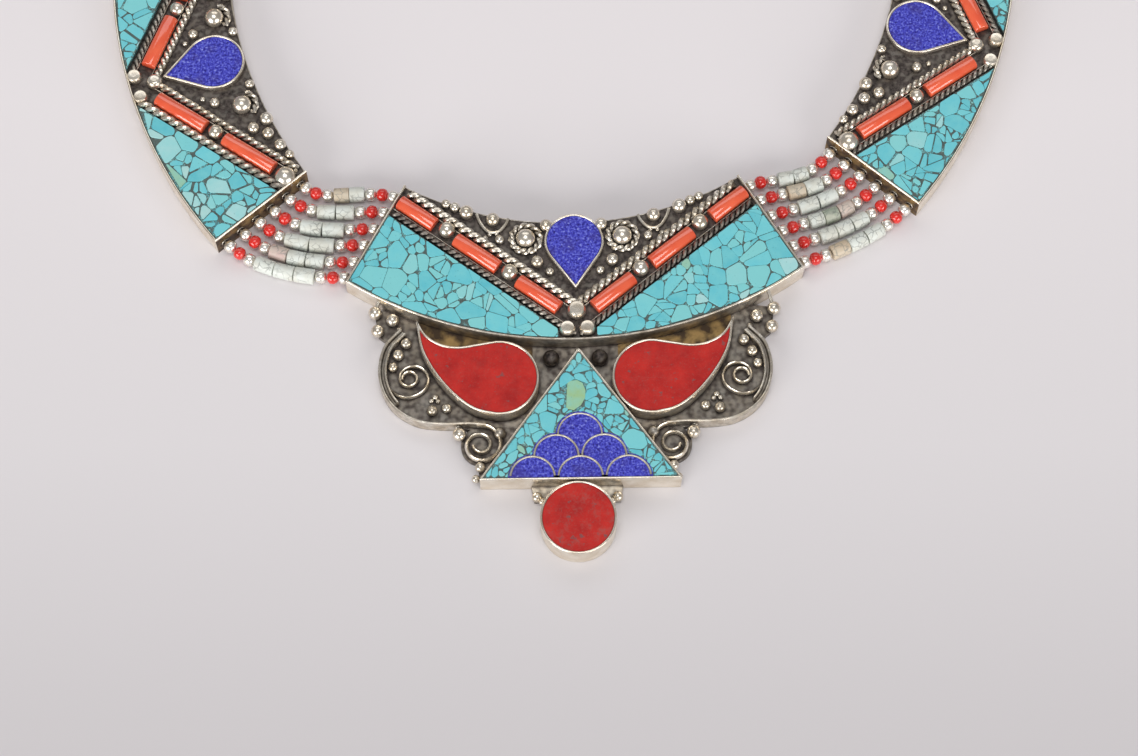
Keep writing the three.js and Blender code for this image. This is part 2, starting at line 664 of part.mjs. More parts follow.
// A whole strand as one closed body: rings of changing radius along its curve
function strandGeometry(curve, howlites) {
  const length = curve.getLength();
  const row = beadRow(howlites);
  const fixed = row.reduce((sum, bead) => sum + (bead.length ?? 0), 0);
  const tubeLength = (length - fixed) / howlites;
  const rings = [];
  let start = 0;
  for (const bead of row) {
    const beadLength = bead.length ?? tubeLength;
    for (const [share, radius] of bead.profile) {
      const ringRadius = Math.max(radius * bead.radius, THREAD_RADIUS);
      rings.push({ distance: start + share * beadLength, radius: ringRadius });
    }
    start += beadLength;
  }
  rings.push({ distance: length, radius: THREAD_RADIUS });
  const positions = [];
  const up = new THREE.Vector3(0, 0, 1);
  for (const ring of rings) {
    const share = Math.min(ring.distance / length, 1);
    const middle = curve.getPointAt(share);
    const along = curve.getTangentAt(share);
    const aside = new THREE.Vector3().crossVectors(up, along).normalize();
    const above = new THREE.Vector3().crossVectors(along, aside);
    for (let i = 0; i < BEAD_SIDES; i += 1) {
      const angle = i * 2 * Math.PI / BEAD_SIDES;
      const p = middle.clone().addScaledVector(aside, ring.radius * Math.cos(angle))
        .addScaledVector(above, ring.radius * Math.sin(angle));
      positions.push(p.x, p.y, p.z);
    }
  }
  const last = rings.length - 1;
  const triangles = [];
  for (let i = 0; i < BEAD_SIDES; i += 1) {
    const next = (i + 1) % BEAD_SIDES;
    for (let ring = 0; ring < last; ring += 1) {
      const low = ring * BEAD_SIDES;
      const high = low + BEAD_SIDES;
      triangles.push(low + i, low + next, high + next, low + i, high + next, high + i);
    }
    if (i > 0 && next > 0) {
      triangles.push(0, next, i);
      triangles.push(last * BEAD_SIDES, last * BEAD_SIDES + i, last * BEAD_SIDES + next);
    }
  }
  const geometry = new THREE.BufferGeometry();
  geometry.setAttribute('position', new THREE.BufferAttribute(new Float32Array(positions), 3));
  geometry.setIndex(triangles);
  geometry.computeVertexNormals();
  return geometry;
}

function addStrands(label, lies, side, routes) {
  routes.forEach((route, i) => {
    const from = strandEnd(SIDE, lies, -side, i);
    const to = strandEnd(CENTRE, CENTRE_LIES, side, i);
    const span = from.point.distanceTo(to.point);
    const curve = strandCurve(from, to, route.sideLead, route.centreLead, span / 3);
    const name = `${label}_strand_${i + 1}`;
    addPiece(necklace, name, strandGeometry(curve, route.howlites), MATERIALS.beads);
  });
}

function claspWidth() {
  return (STRANDS - 1) * CLASP.pitch + 2 * CLASP.margin;
}

function addBackStrands(label, lies, side) {
  for (let i = 0; i < STRANDS; i += 1) {
    const from = strandEnd(SIDE, lies, side, i);
    const across = CLASP.y - claspWidth() / 2 + CLASP.margin + i * CLASP.pitch;
    const to = { point: at(CLASP.x + side * CLASP.length / 2, across), outwards: at(side, 0) };
    const grow = 1 + i * CLASP.pitch / BACK.sideLead / 2;
    const curve = strandCurve(from, to, BACK.sideLead * grow, BACK.claspLead * grow, BACK.settle);
    const lastCorner = 360 * DEG * (1 - 1 / BACK.sides);
    const section = new THREE.Shape(arc(at(0, 0), BACK.radius, 0, lastCorner, BACK.sides - 1));
    const steps = Math.round(curve.getLength() / (2 * BACK.radius * BACK.diametersPerStep));
    const geometry = new THREE.ExtrudeGeometry(section, { steps, bevelEnabled: false, extrudePath: curve });
    addPiece(necklace, `${label}_back_strand_${i + 1}`, geometryOf(solid(geometry)), MATERIALS.beads);
  }
}

function addClasp() {
  const x = CLASP.length / 2 - CLASP.corner;
  const y = claspWidth() / 2 - CLASP.corner;
  const quarter = 90 * DEG;
  const outline = [
    ...arc(at(x, y), CLASP.corner, 0, quarter, CLASP.steps),
    ...arc(at(-x, y), CLASP.corner, quarter, 2 * quarter, CLASP.steps),
    ...arc(at(-x, -y), CLASP.corner, 2 * quarter, 3 * quarter, CLASP.steps),
    ...arc(at(x, -y), CLASP.corner, 3 * quarter, 4 * quarter, CLASP.steps),
  ];
  const group = new THREE.Group();
  group.position.set(CLASP.x, CLASP.y, 0);
  necklace.add(group);
  addPiece(group, 'clasp', geometryOf(prism(outline, 0, 2 * HOLE_HEIGHT)), MATERIALS.silver);
}

addCentre();
addSide('left', LEFT, LEFT_LIES);
addSide('right', RIGHT, RIGHT_LIES);
addStrands('left', LEFT_LIES, -1, LEFT_ROUTES);
addStrands('right', RIGHT_LIES, 1, RIGHT_ROUTES);
addBackStrands('left', LEFT_LIES, -1);
addBackStrands('right', RIGHT_LIES, 1);
addClasp();

// The middle of the underside of the whole is the origin
necklace.updateMatrixWorld(true);
const box = new THREE.Box3().setFromObject(necklace, true);
necklace.position.set(-(box.min.x + box.max.x) / 2, -(box.min.y + box.max.y) / 2, -box.min.z);
necklace.updateMatrixWorld(true);

export default necklace;
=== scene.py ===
"""Bib necklace: inlaid silver plates with a pendant, joined by strands of beads.

Shapes are worked out in millimetres, in the frame of the plate that they belong to, and turned into
metres in the model's frame when a piece is made.
"""
import math
import random
from bisect import bisect_right

import bpy
from mathutils import Matrix, Vector
from mathutils.geometry import interpolate_bezier


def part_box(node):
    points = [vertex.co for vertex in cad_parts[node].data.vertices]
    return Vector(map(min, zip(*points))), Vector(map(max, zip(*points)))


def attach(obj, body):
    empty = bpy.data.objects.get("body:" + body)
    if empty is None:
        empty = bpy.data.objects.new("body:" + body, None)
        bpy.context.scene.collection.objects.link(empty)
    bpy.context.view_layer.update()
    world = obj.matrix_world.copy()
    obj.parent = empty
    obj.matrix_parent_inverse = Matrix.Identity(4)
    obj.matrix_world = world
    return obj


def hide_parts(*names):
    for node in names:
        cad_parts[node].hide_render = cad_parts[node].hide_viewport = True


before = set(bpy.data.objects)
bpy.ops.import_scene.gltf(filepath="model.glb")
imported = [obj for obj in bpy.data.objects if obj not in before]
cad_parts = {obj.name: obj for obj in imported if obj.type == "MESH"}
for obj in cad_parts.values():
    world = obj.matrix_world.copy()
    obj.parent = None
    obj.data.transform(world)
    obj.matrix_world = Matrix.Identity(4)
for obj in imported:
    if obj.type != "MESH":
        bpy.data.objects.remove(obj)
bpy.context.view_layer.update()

MM = 0.001
SEED = 11

# Sizes that all the plates share
GAP = 0.3
THICKNESS = 5.8
FLOOR = 4.7
RIM = 0.5

# A plate's frame has its origin at the middle of the neck edge and +Y to the neck
CENTRE = {
    "inner_radius": 71.0, "outer_radius": 86.1, "width": 27.5, "inner_half": 36.0, "outer_half": 48.6,
    "apex": 0.834, "arm_end": 0.144, "drop_top": 1.64, "drop_radius": 6.33, "drop_aside": 0.0,
    "dark_half": 34.0, "rods": [(0, 0.2), (0.32, 0.56), (0.672, 0.9)],
}
SIDE = {
    "inner_radius": 103.9, "outer_radius": 109.9, "width": 26.2, "inner_half": 31.7, "outer_half": 41.6,
    "apex": 0.918, "arm_end": 0.129, "drop_top": -0.1, "drop_radius": 6.65,
    "rods": [(0.11, 0.43), (0.557, 0.87)],
}
LEFT = SIDE | {"drop_aside": -0.6}
RIGHT = SIDE | {"drop_aside": 0.6}
CENTRE_LIES = (0.9, 35.9, 2.0)
LEFT_LIES = (-71.2, 76.1, -71.6)
RIGHT_LIES = (70.0, 84.8, 72.8)

ROD_WIDTH = 3.3
ROD_HEIGHT = 1.9
ROD_BEVEL = 0.2
FIELD_SETBACK = 3.9
FIELD_APART = 4.0
DROP = {"tip": 1.754, "rim": 0.52}

# Pendant: across as a share of half_width, down from the centre plate's edge as a share of drop
PENDANT = {"half_width": 41.0, "drop": 31.0, "turn": -1.2, "sheet": 1.4, "lean": 0.7}
TRIANGLE = {"half_base": 21.0, "top": 0.055}
DISC = {"radius": 7.85, "aside": 0.1}
SCALES = {"radius": 4.4, "pitch": 9.86, "rise": 4.7, "rows": 3, "low": 0.5}
PAISLEY = {"across": 0.388, "down": 0.268, "head_radius": 8.3}
PAISLEY_TIP = (2.11, 1.65)
PAISLEY_UPPER = [(1.84, 1.18), (1.46, 0.93), (1.04, 0.85), (0.6, 0.91)]
PAISLEY_LOWER = [(0.6, -0.86), (1.04, -0.55), (1.43, -0.13), (1.76, 0.36), (1.99, 0.89)]
PAISLEY_HEAD = (78, 275)
SCROLL_EDGE = [
    (0.895, -0.12), (0.966, -0.016), (0.995, 0.094), (1.0, 0.203), (0.983, 0.31),
    (0.946, 0.406), (0.885, 0.487), (0.793, 0.548), (0.671, 0.568), (0.549, 0.565),
]
SHEET_SHOULDER = [(0.0, -0.3), (0.93, -0.3), (1.015, -0.285), (1.03, -0.24), (1.012, -0.1)]
SHEET_FOOT = [(0.5, 0.85), (0.488, 0.98), (0.0, 1.0)]
SHEET_ROUND = {"radius": 4.2, "from": 55, "to": -85}
# Scrolls, with the radius at each quarter turn from the outer end inwards
SCROLLS = [
    {"across": 0.849, "down": 0.226, "start": -12, "turn": -1,
     "radii": [4.9, 4.1, 3.9, 2.5, 1.95, 1.65, 1.6, 1.55, 1.5]},
    {"across": 0.483, "down": 0.703, "start": 78, "turn": 1,
     "radii": [4.1, 4.05, 3.75, 3.1, 2.3, 1.95, 1.8, 1.7]},
]
SCROLL_TOP = 3.6
NECK_SHEET = {"half_top": 9.6, "half_foot": 8.9, "length": 3.2}

# Strands of beads, with the leads of the curves that they follow
STRANDS = 6
EDGE_MARGIN = 2.2
HOLE_HEIGHT = 2.7
REST_HEIGHT = 1.7
SILVER_BEAD = {"length": 2.6, "radius": 1.4}
RED_BEAD = {"length": 2.5, "radius": 1.42}
HOWLITE_RADIUS = 1.65
LEFT_ROUTES = [
    {"side_lead": 7, "centre_lead": 9, "tints": "bp"},
    {"side_lead": 8.5, "centre_lead": 6, "tints": "pp"},
    {"side_lead": 10.5, "centre_lead": 4, "tints": "pp"},
    {"side_lead": 12, "centre_lead": 4, "tints": "pp"},
    {"side_lead": 11.5, "centre_lead": 1, "tints": "rpp"},
    {"side_lead": 11.5, "centre_lead": 1, "tints": "ppp"},
]
RIGHT_ROUTES = [
    {"side_lead": 13, "centre_lead": 9, "tints": "pp"},
    {"side_lead": 11.5, "centre_lead": 8.5, "tints": "pb"},
    {"side_lead": 10.5, "centre_lead": 6.5, "tints": "pp"},
    {"side_lead": 11.5, "centre_lead": 7.5, "tints": "rgp"},
    {"side_lead": 11, "centre_lead": 6, "tints": "ppp"},
    {"side_lead": 11, "centre_lead": 1, "tints": "ppb"},
]
HOWLITE_TINTS = {"p": 0.1, "b": 0.4, "r": 0.6, "g": 0.9}
BACK = {"radius": 1.45, "side_lead": 37, "clasp_lead": 34, "settle": 11}
CLASP = {"x": -1.0, "y": 178.0, "length": 9.0, "pitch": 3.4, "margin": 2.4, "corner": 2.0}


def flat(x, y):
    return Vector((x, y))


def centre_of(node):
    low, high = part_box(node)
    return (Vector(low) + Vector(high)) / 2 / MM


# The model's frame has its origin in the middle of the whole, and the clasp tells where that is
CLASP_CENTRE = centre_of("clasp")
OFFSET = Vector((CLASP_CENTRE.x - CLASP["x"], CLASP_CENTRE.y - CLASP["y"], 0))


def placing(lies):
    x, y, turn = lies
    return Matrix.Translation(OFFSET + Vector((x, y, 0))) @ Matrix.Rotation(math.radians(turn), 4, "Z")


WHOLE_PLACE = Matrix.Translation(OFFSET)
CENTRE_PLACE = placing(CENTRE_LIES)
LEFT_PLACE = placing(LEFT_LIES)
RIGHT_PLACE = placing(RIGHT_LIES)
PENDANT_PLACE = CENTRE_PLACE @ Matrix.Rotation(math.radians(PENDANT["turn"]), 4, "Z")


# Materials
class Graph:
    """Node tree of one material, with short ways to add and join nodes"""

    def __init__(self, name, **shader):
        self.material = bpy.data.materials.new(name)
        self.material.use_nodes = True
        self.tree = self.material.node_tree
        self.shader = self.tree.nodes["Principled BSDF"]
        for key, value in shader.items():
            self.shader.inputs[key.replace("_", " ")].default_value = value
        self.place = self.add("ShaderNodeTexCoord").outputs["Object"]

    def add(self, kind, props=None, **inputs):
        node = self.tree.nodes.new(kind)
        for key, value in (props or {}).items():
            setattr(node, key, value)
        for key, value in inputs.items():
            self.feed(node.inputs[key.replace("_", " ")], value)
        return node

    def feed(self, socket, value):
        if isinstance(value, bpy.types.NodeSocket):
            self.tree.links.new(value, socket)
        else:
            socket.default_value = value

    def noise(self, scale, detail=3.0, roughness=0.5, output="Fac"):
        return self.add("ShaderNodeTexNoise", Vector=self.place, Scale=scale, Detail=detail,
                        Roughness=roughness).outputs[output]

    def cell_edges(self, scale, place):
        """Distance to the nearest border between cells"""
        return self.add("ShaderNodeTexVoronoi", {"feature": "DISTANCE_TO_EDGE"}, Vector=place,
                        Scale=scale).outputs["Distance"]

    def openness(self, distance):
        """How open a place is within a distance, from 0 in a recess to 1"""
        return self.add("ShaderNodeAmbientOcclusion", {"samples": 6}, Distance=distance).outputs["AO"]

    def span(self, value, low, high, to_low=0.0, to_high=1.0):
        node = self.add("ShaderNodeMapRange", Value=value, From_Min=low, From_Max=high,
                        To_Min=to_low, To_Max=to_high)
        return node.outputs["Result"]

    def math(self, operation, a, b):
        node = self.tree.nodes.new("ShaderNodeMath")
        node.operation = operation
        self.feed(node.inputs[0], a)
        self.feed(node.inputs[1], b)
        return node.outputs["Value"]

    def mix(self, factor, a, b):
        node = self.tree.nodes.new("ShaderNodeMix")
        node.data_type = "RGBA"
        self.feed(node.inputs["Factor"], factor)
        self.feed(node.inputs[6], a)
        self.feed(node.inputs[7], b)
        return node.outputs[2]

    def layer(self, mask, strength, below, colour):
        """A colour laid over what is below it, as strongly as the mask says"""
        return self.mix(self.math("MULTIPLY", mask, strength), below, colour)

    def ramp(self, factor, stops, interpolation="LINEAR"):
        node = self.add("ShaderNodeValToRGB", Fac=factor)
        node.color_ramp.interpolation = interpolation
        elements = node.color_ramp.elements
        while len(elements) < len(stops):
            elements.new(0.5)
        for element, (position, colour) in zip(elements, stops):
            element.position = position
            element.color = colour
        return node.outputs["Color"]

    def mark(self):
        return self.add("ShaderNodeAttribute", {"attribute_name": "mark"}).outputs["Fac"]

    def bump(self, height, strength, distance):
        node = self.add("ShaderNodeBump", Height=height, Strength=strength, Distance=distance)
        self.feed(self.shader.inputs["Normal"], node.outputs["Normal"])

    def colour(self, value):
        self.feed(self.shader.inputs["Base Color"], value)

    def roughness(self, value):
        self.feed(self.shader.inputs["Roughness"], value)


def rgb(red, green, blue):
    """Colour as seen on a screen, 0 to 255, as a linear colour"""
    def linear(value):
        share = value / 255
        return share / 12.92 if share <= 0.04045 else ((share + 0.055) / 1.055) ** 2.4
    return (linear(red), linear(green), linear(blue), 1.0)


def silver_material():
    """Old silver: bright where it is rubbed, dark where the mark says and in the recesses"""
    graph = Graph("silver", Metallic=0.88)
    recess = graph.span(graph.openness(0.001), 0.25, 0.75, 0.85, 0.0)
    patches = graph.span(graph.noise(900, 4), 0.4, 0.68, -0.14, 0.2)
    tarnish = graph.math("ADD", graph.math("ADD", graph.mark(), recess), patches)
    tarnish = graph.span(tarnish, 0.0, 1.0)
    bright = graph.mix(graph.span(graph.noise(350), 0.35, 0.7), rgb(242, 235, 222), rgb(220, 206, 184))
    dark = graph.mix(graph.span(graph.noise(1800, 4), 0.3, 0.7), rgb(34, 31, 31), rgb(104, 95, 90))
    graph.colour(graph.mix(tarnish, bright, dark))
    graph.roughness(graph.span(tarnish, 0.0, 1.0, 0.23, 0.5))
    graph.bump(graph.noise(2600, 5), 0.25, 0.00006)
    return graph.material


def stained_material():
    """Silver with the brown and yellow stains of old brass"""
    graph = Graph("stained_silver", Metallic=0.7, Roughness=0.4)
    recess = graph.span(graph.openness(0.0022), 0.35, 0.8, 0.9, 0.0)
    streak = graph.mix(graph.span(graph.noise(420, 4), 0.35, 0.6), rgb(186, 154, 100), rgb(84, 68, 52))
    graph.colour(graph.mix(recess, streak, rgb(50, 42, 38)))
    graph.bump(graph.noise(1800, 4), 0.25, 0.0001)
    return graph.material


def turquoise_material():
    graph = Graph("turquoise", Roughness=0.36, IOR=1.5, Specular_IOR_Level=0.35)
    tint = graph.ramp(graph.mark(), [
        (0.0, rgb(92, 190, 204)), (0.3, rgb(110, 206, 218)), (0.6, rgb(132, 210, 212)),
        (0.75, rgb(184, 224, 224)), (0.9, rgb(150, 200, 180)), (1.0, rgb(160, 196, 140)),
    ])
    cloud = graph.span(graph.noise(420, 4), 0.3, 0.72)
    base = graph.layer(cloud, 0.55, tint, rgb(134, 214, 216))
    specks = graph.span(graph.noise(2400, 3), 0.66, 0.74)
    graph.colour(graph.layer(specks, 0.5, base, rgb(70, 140, 140)))
    graph.bump(graph.noise(1500, 4), 0.2, 0.00008)
    return graph.material


# Crumbs of turquoise to a metre of cement
CRUMBS = 2300


def cement_material():
    """Dark cement between the chips, with crumbs of turquoise in it"""
    graph = Graph("cement", Roughness=0.6)
    crumb = graph.add("ShaderNodeTexVoronoi", Vector=graph.place, Scale=CRUMBS).outputs["Color"]
    pick = graph.add("ShaderNodeSeparateColor", Color=crumb).outputs["Red"]
    crumbs = graph.mix(pick, rgb(76, 162, 174), rgb(142, 204, 200))
    dark = graph.mix(graph.noise(900, 4), rgb(44, 56, 58), rgb(104, 114, 106))
    inside = graph.span(graph.cell_edges(CRUMBS, graph.place), 0.06, 0.16)
    here = graph.span(graph.noise(330, 2), 0.47, 0.53, 0.1, 1.0)
    graph.colour(graph.layer(inside, here, dark, crumbs))
    graph.bump(graph.noise(2200, 4), 0.5, 0.0002)
    return graph.material


def coral_material():
    graph = Graph("coral", Roughness=0.14, IOR=1.6, Coat_Weight=1.0, Coat_Roughness=0.05)
    cloud = graph.span(graph.noise(300, 4), 0.3, 0.7)
    graph.colour(graph.mix(cloud, rgb(232, 84, 48), rgb(242, 104, 66)))
    graph.bump(graph.noise(700, 3), 0.06, 0.0001)
    return graph.material


def red_inlay_material():
    graph = Graph("red_inlay", Roughness=0.42, IOR=1.5, Specular_IOR_Level=0.25)
    cloud = graph.span(graph.noise(260, 5, 0.6), 0.32, 0.7)
    base = graph.mix(cloud, rgb(168, 26, 24), rgb(202, 42, 34))
    grit = graph.span(graph.noise(3800, 2), 0.58, 0.7)
    base = graph.layer(grit, 0.35, base, rgb(150, 84, 78))
    # pale patches as strong as the mark: a painted glare on the disc, whose mark is 1, and faint wear on
    # the paisleys
    worn = graph.math("MULTIPLY", graph.span(graph.noise(380, 8, 0.8), 0.5, 0.66), graph.mark())
    base = graph.layer(worn, 0.5, base, rgb(148, 94, 88))
    spots = graph.span(graph.noise(650, 5, 0.65), 0.635, 0.67)
    graph.colour(graph.layer(spots, 0.75, base, rgb(112, 84, 84)))
    graph.bump(graph.math("SUBTRACT", graph.noise(3000, 3), spots), 0.25, 0.00012)
    return graph.material


def lapis_material():
    graph = Graph("lapis", Roughness=0.5, IOR=1.5, Specular_IOR_Level=0.25)
    grain = graph.noise(1900, 5, 0.75)
    base = graph.ramp(grain, [
        (0.36, rgb(30, 24, 96)), (0.44, rgb(46, 44, 158)), (0.5, rgb(64, 66, 194)),
        (0.57, rgb(92, 98, 212)), (0.66, rgb(156, 164, 228)),
    ])
    patch = graph.span(graph.noise(260, 3), 0.5, 0.66)
    base = graph.layer(patch, 0.45, base, rgb(64, 54, 124))
    fleck = graph.span(graph.noise(1900, 2), 0.7, 0.76)
    graph.colour(graph.layer(fleck, 0.6, base, rgb(176, 186, 226)))
    graph.bump(grain, 0.3, 0.0001)
    return graph.material


def howlite_material():
    """Pale stone with fine grey veins, and the few beads of another tint"""
    graph = Graph("howlite", Roughness=0.38, IOR=1.5)
    tint = graph.ramp(graph.mark(), [
        (0.0, rgb(220, 225, 218)), (0.3, rgb(205, 186, 160)), (0.5, rgb(206, 180, 172)),
        (0.75, rgb(158, 168, 150)),
    ], "CONSTANT")
    patch = graph.span(graph.noise(330, 3), 0.42, 0.62)
    base = graph.layer(patch, 0.5, tint, rgb(206, 202, 186))
    # the veins are borders between cells, bent by a noise of 1.2 mm
    bent = graph.add("ShaderNodeVectorMath", {"operation": "MULTIPLY_ADD"})
    for socket, value in zip(bent.inputs, (graph.noise(700, output="Color"), [0.0012] * 3, graph.place)):
        graph.feed(socket, value)
    vein = graph.span(graph.cell_edges(620, bent.outputs["Vector"]), 0.0, 0.09, 0.75, 0.0)
    graph.colour(graph.layer(vein, graph.span(graph.noise(450), 0.4, 0.6), base, rgb(118, 120, 116)))
    graph.bump(graph.noise(1300, 4), 0.25, 0.00012)
    return graph.material


def red_bead_material():
    graph = Graph("red_bead", Roughness=0.12, IOR=1.52, Coat_Weight=0.6, Coat_Roughness=0.04)
    graph.colour(graph.mix(graph.noise(500), rgb(208, 30, 26), rgb(228, 52, 42)))
    return graph.material


def silver_bead_material():
    graph = Graph("silver_bead", Metallic=0.85)
    wear = graph.span(graph.noise(1200, 4), 0.5, 0.72)
    graph.colour(graph.mix(wear, rgb(250, 246, 238), rgb(222, 210, 192)))
    graph.roughness(graph.span(wear, 0.0, 1.0, 0.26, 0.42))
    graph.bump(graph.noise(900, 3), 0.3, 0.0002)
    return graph.material


def thread_material():
    graph = Graph("thread", Roughness=0.8)
    graph.colour(graph.mix(graph.noise(3000), rgb(168, 150, 128), rgb(120, 104, 88)))
    graph.bump(graph.noise(5000), 0.4, 0.0001)
    return graph.material


SILVER = silver_material()
STAINED = stained_material()
TURQUOISE = turquoise_material()
CEMENT = cement_material()
CORAL = coral_material()
RED_INLAY = red_inlay_material()
LAPIS = lapis_material()
HOWLITE = howlite_material()
RED = red_bead_material()
SHINY = silver_bead_material()
THREAD = thread_material()


def add_object(name, data):
    obj = bpy.data.objects.new(name, data)
    bpy.context.scene.collection.objects.link(obj)
    return obj


# Shapes
class Shape:
    """Points and faces of one piece, with a mark on each point that its material reads"""

    def __init__(self, place):
        self.place = place
        self.points = []
        self.faces = []
        self.kinds = []
        self.marks = []
        self.caps = []

    def loft(self, rings, mark=0.0, kind=0, closed=False):
        """Skin over rings of as many points each, closed at both ends or joined into a loop. The mark
        is one number, or a list of one for each point."""
        first = len(self.points)
        count = len(rings)
        sides = len(rings[0])
        faces = []
        for i in range(count if closed else count - 1):
            low = first + i * sides
            high = first + (i + 1) % count * sides
            for j in range(sides):
                k = (j + 1) % sides
                faces.append([low + j, low + k, high + k, high + j])
        if not closed:
            self.caps += [len(self.faces) + len(faces), len(self.faces) + len(faces) + 1]
            faces.append(list(reversed(range(first, first + sides))))
            faces.append([first + (count - 1) * sides + j for j in range(sides)])
        self.points += [self.place @ p for ring in rings for p in ring]
        self.faces += faces
        self.kinds += [kind] * len(faces)
        self.marks += mark if isinstance(mark, list) else [mark] * (count * sides)

    def make(self, name, materials, nodes=None, sharp=38):
        """The piece, in place of the nodes given or of the one that has its own name"""
        nodes = nodes or [name]
        mesh = bpy.data.meshes.new(name)
        mesh.from_pydata([p * MM for p in self.points], [], self.faces)
        mesh.polygons.foreach_set("material_index", self.kinds)
        mesh.attributes.new("mark", "FLOAT", "POINT").data.foreach_set("value", self.marks)
        mesh.shade_smooth()
        mesh.set_sharp_from_angle(angle=math.radians(sharp))
        for cap in self.caps:
            mesh.polygons[cap].use_smooth = False
        for material in materials:
            mesh.materials.append(material)
        mesh.update()
        piece = add_object(name, mesh)
        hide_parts(*nodes)
        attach(piece, "root")


def lifted(outline, height):
    return [Vector((p.x, p.y, height)) for p in outline]


def signed_area(loop):
    return sum(p.cross(loop[(i + 1) % len(loop)]) for i, p in enumerate(loop)) / 2


def facing_up(loop):
    return loop if signed_area(loop) > 0 else list(reversed(loop))


def middle_of(loop):
    return sum(loop, flat(0, 0)) / len(loop)


def offsets(loop, closed=True):
    """Unit step to the left of the line at each point, longer at corners to keep an even width"""
    steps = []
    count = len(loop)
    for i, p in enumerate(loop):
        before = loop[i - 1] if closed or i > 0 else p
        after = loop[(i + 1) % count] if closed or i < count - 1 else p
        first = (p - before).normalized() if (p - before).length > 0 else (after - p).normalized()
        second = (after - p).normalized() if (after - p).length > 0 else first
        along = (first + second).normalized()
        reach = max(first.dot(along), 0.35)
        steps.append(flat(-along.y, along.x) / reach)
    return steps


def inset(loop, distance):
    """Moves every edge of a closed outline inwards, dropping edges that shrink away"""
    loop = facing_up(loop)
    edges = []
    for i, p in enumerate(loop):
        along = (loop[(i + 1) % len(loop)] - p).normalized()
        edges.append((along, p + flat(-along.y, along.x) * distance))
    while True:
        corners = []
        for i, (along, point) in enumerate(edges):
            before, start = edges[i - 1]
            across = before.cross(along)
            if abs(across) < 1e-6:
                corners.append(point.copy())
            else:
                corners.append(start + before * ((point - start).cross(along) / across))
        kept = []
        for i, edge in enumerate(edges):
            step = corners[(i + 1) % len(corners)] - corners[i]
            if step.dot(edge[0]) > 0:
                kept.append(edge)
        if len(kept) == len(edges):
            return corners
        edges = kept


def arc(centre, radius, start, end, steps):
    points = []
    for i in range(steps + 1):
        angle = math.radians(start + (end - start) * i / steps)
        points.append(centre + flat(math.cos(angle), math.sin(angle)) * radius)
    return points


def circle(centre, radius):
    """A closed outline, and so without the last point, which is the first"""
    return arc(centre, radius, 0, 354, 59)


def mirrored(points, side):
    return [flat(p.x * side, p.y) for p in points]


def smooth_line(points, steps):
    """Curve through the points, as a list with the given steps between each two"""
    line = []
    for i, (p1, p2) in enumerate(zip(points, points[1:])):
        p0 = points[i - 1] if i > 0 else p1 * 2 - p2
        p3 = points[i + 2] if i + 2 < len(points) else p2 * 2 - p1
        for j in range(steps):
            t = j / steps
            line.append(0.5 * (2 * p1 + (p2 - p0) * t + (2 * p0 - 5 * p1 + 4 * p2 - p3) * t * t
                               + (3 * p1 - p0 - 3 * p2 + p3) * t ** 3))
    return line + [points[-1].copy()]


def clip(loop, point, normal):
    """The part of an outline on the side of a line that its normal points away from"""
    kept = []
    for i, p in enumerate(loop):
        q = loop[(i + 1) % len(loop)]
        here = (p - point).dot(normal)
        there = (q - point).dot(normal)
        if here <= 0:
            kept.append(p)
        if (here < 0 < there) or (there < 0 < here):
            kept.append(p + (q - p) * (here / (here - there)))
    return kept


def slab(shape, outline, bottom, top, bevel=0.0, mark=0.0, kind=0):
    """Flat body over an outline, its upper edge rounded where it has a bevel"""
    outline = facing_up(outline)
    rings = [lifted(outline, bottom), lifted(outline, top - bevel)]
    if bevel:
        steps = offsets(outline)
        for share in (0.3, 1.0):
            rise = math.sqrt(1 - (1 - share) ** 2)
            rings.append(lifted([p + s * bevel * share for p, s in zip(outline, steps)],
                                top - bevel + bevel * rise))
    shape.loft(rings, mark, kind)


DOME_RINGS = 5


def domed(shape, outline, bottom, top, dome, inwards):
    """Closed form over an outline whose top swells a little towards its middle"""
    outline = facing_up(outline)
    middle = middle_of(outline)
    layers = [lifted(outline, bottom), lifted(outline, top - 0.06)]
    for i in range(DOME_RINGS):
        share = i / DOME_RINGS * inwards
        height = top + dome * (1 - (1 - share) ** 2)
        layers.append(lifted([p.lerp(middle, share + 0.006) for p in outline], height))
    shape.loft(layers)


def upright(shape, line, aside, section, mark, closed=False):
    """Skin over a section repeated along a line; aside holds the line's steps across the section"""
    rings = [[Vector((*(p + s * across), height)) for across, height in section]
             for p, s in zip(line, aside)]
    shape.loft(rings, mark, closed=closed)


def wall(shape, line, width, bottom, top, closed=True, mark=0.0, foot=None):
    """Thin upright wall with a rounded top, along a line at its outer face (its right side). Its
    mark is one number or one for each point, and foot is the mark at its lower edge."""
    curve = width * 0.42
    section = [(0, bottom), (0, top - curve), (width * 0.12, top - curve * 0.35), (width * 0.35, top),
               (width * 0.65, top), (width * 0.88, top - curve * 0.35), (width, top - curve),
               (width, bottom)]
    marks = []
    for here in mark if isinstance(mark, list) else [mark] * len(line):
        low = here if foot is None else foot
        marks += [low] + [here] * (len(section) - 2) + [low]
    upright(shape, line, offsets(line, closed), section, marks, closed)


def ribbon_wall(shape, line, aside, width, bottom, top, mark):
    """Upright strip beside a line, on the side that the steps point to, with a rounded top"""
    curve = width * 0.42
    section = [(0, bottom), (0, top - curve), (width * 0.16, top - curve * 0.3), (width * 0.5, top),
               (width * 0.84, top - curve * 0.3), (width, top - curve), (width, bottom)]
    upright(shape, line, aside, section, mark)


def frames(path, closed=False):
    """Directions aside and above at each point of a path in space"""
    count = len(path)
    result = []
    for i in range(count):
        before = path[i - 1] if closed or i > 0 else path[i]
        after = path[(i + 1) % count] if closed or i < count - 1 else path[i]
        along = (after - before).normalized()
        aside = Vector((0, 0, 1)).cross(along).normalized()
        result.append((aside, along.cross(aside)))
    return result


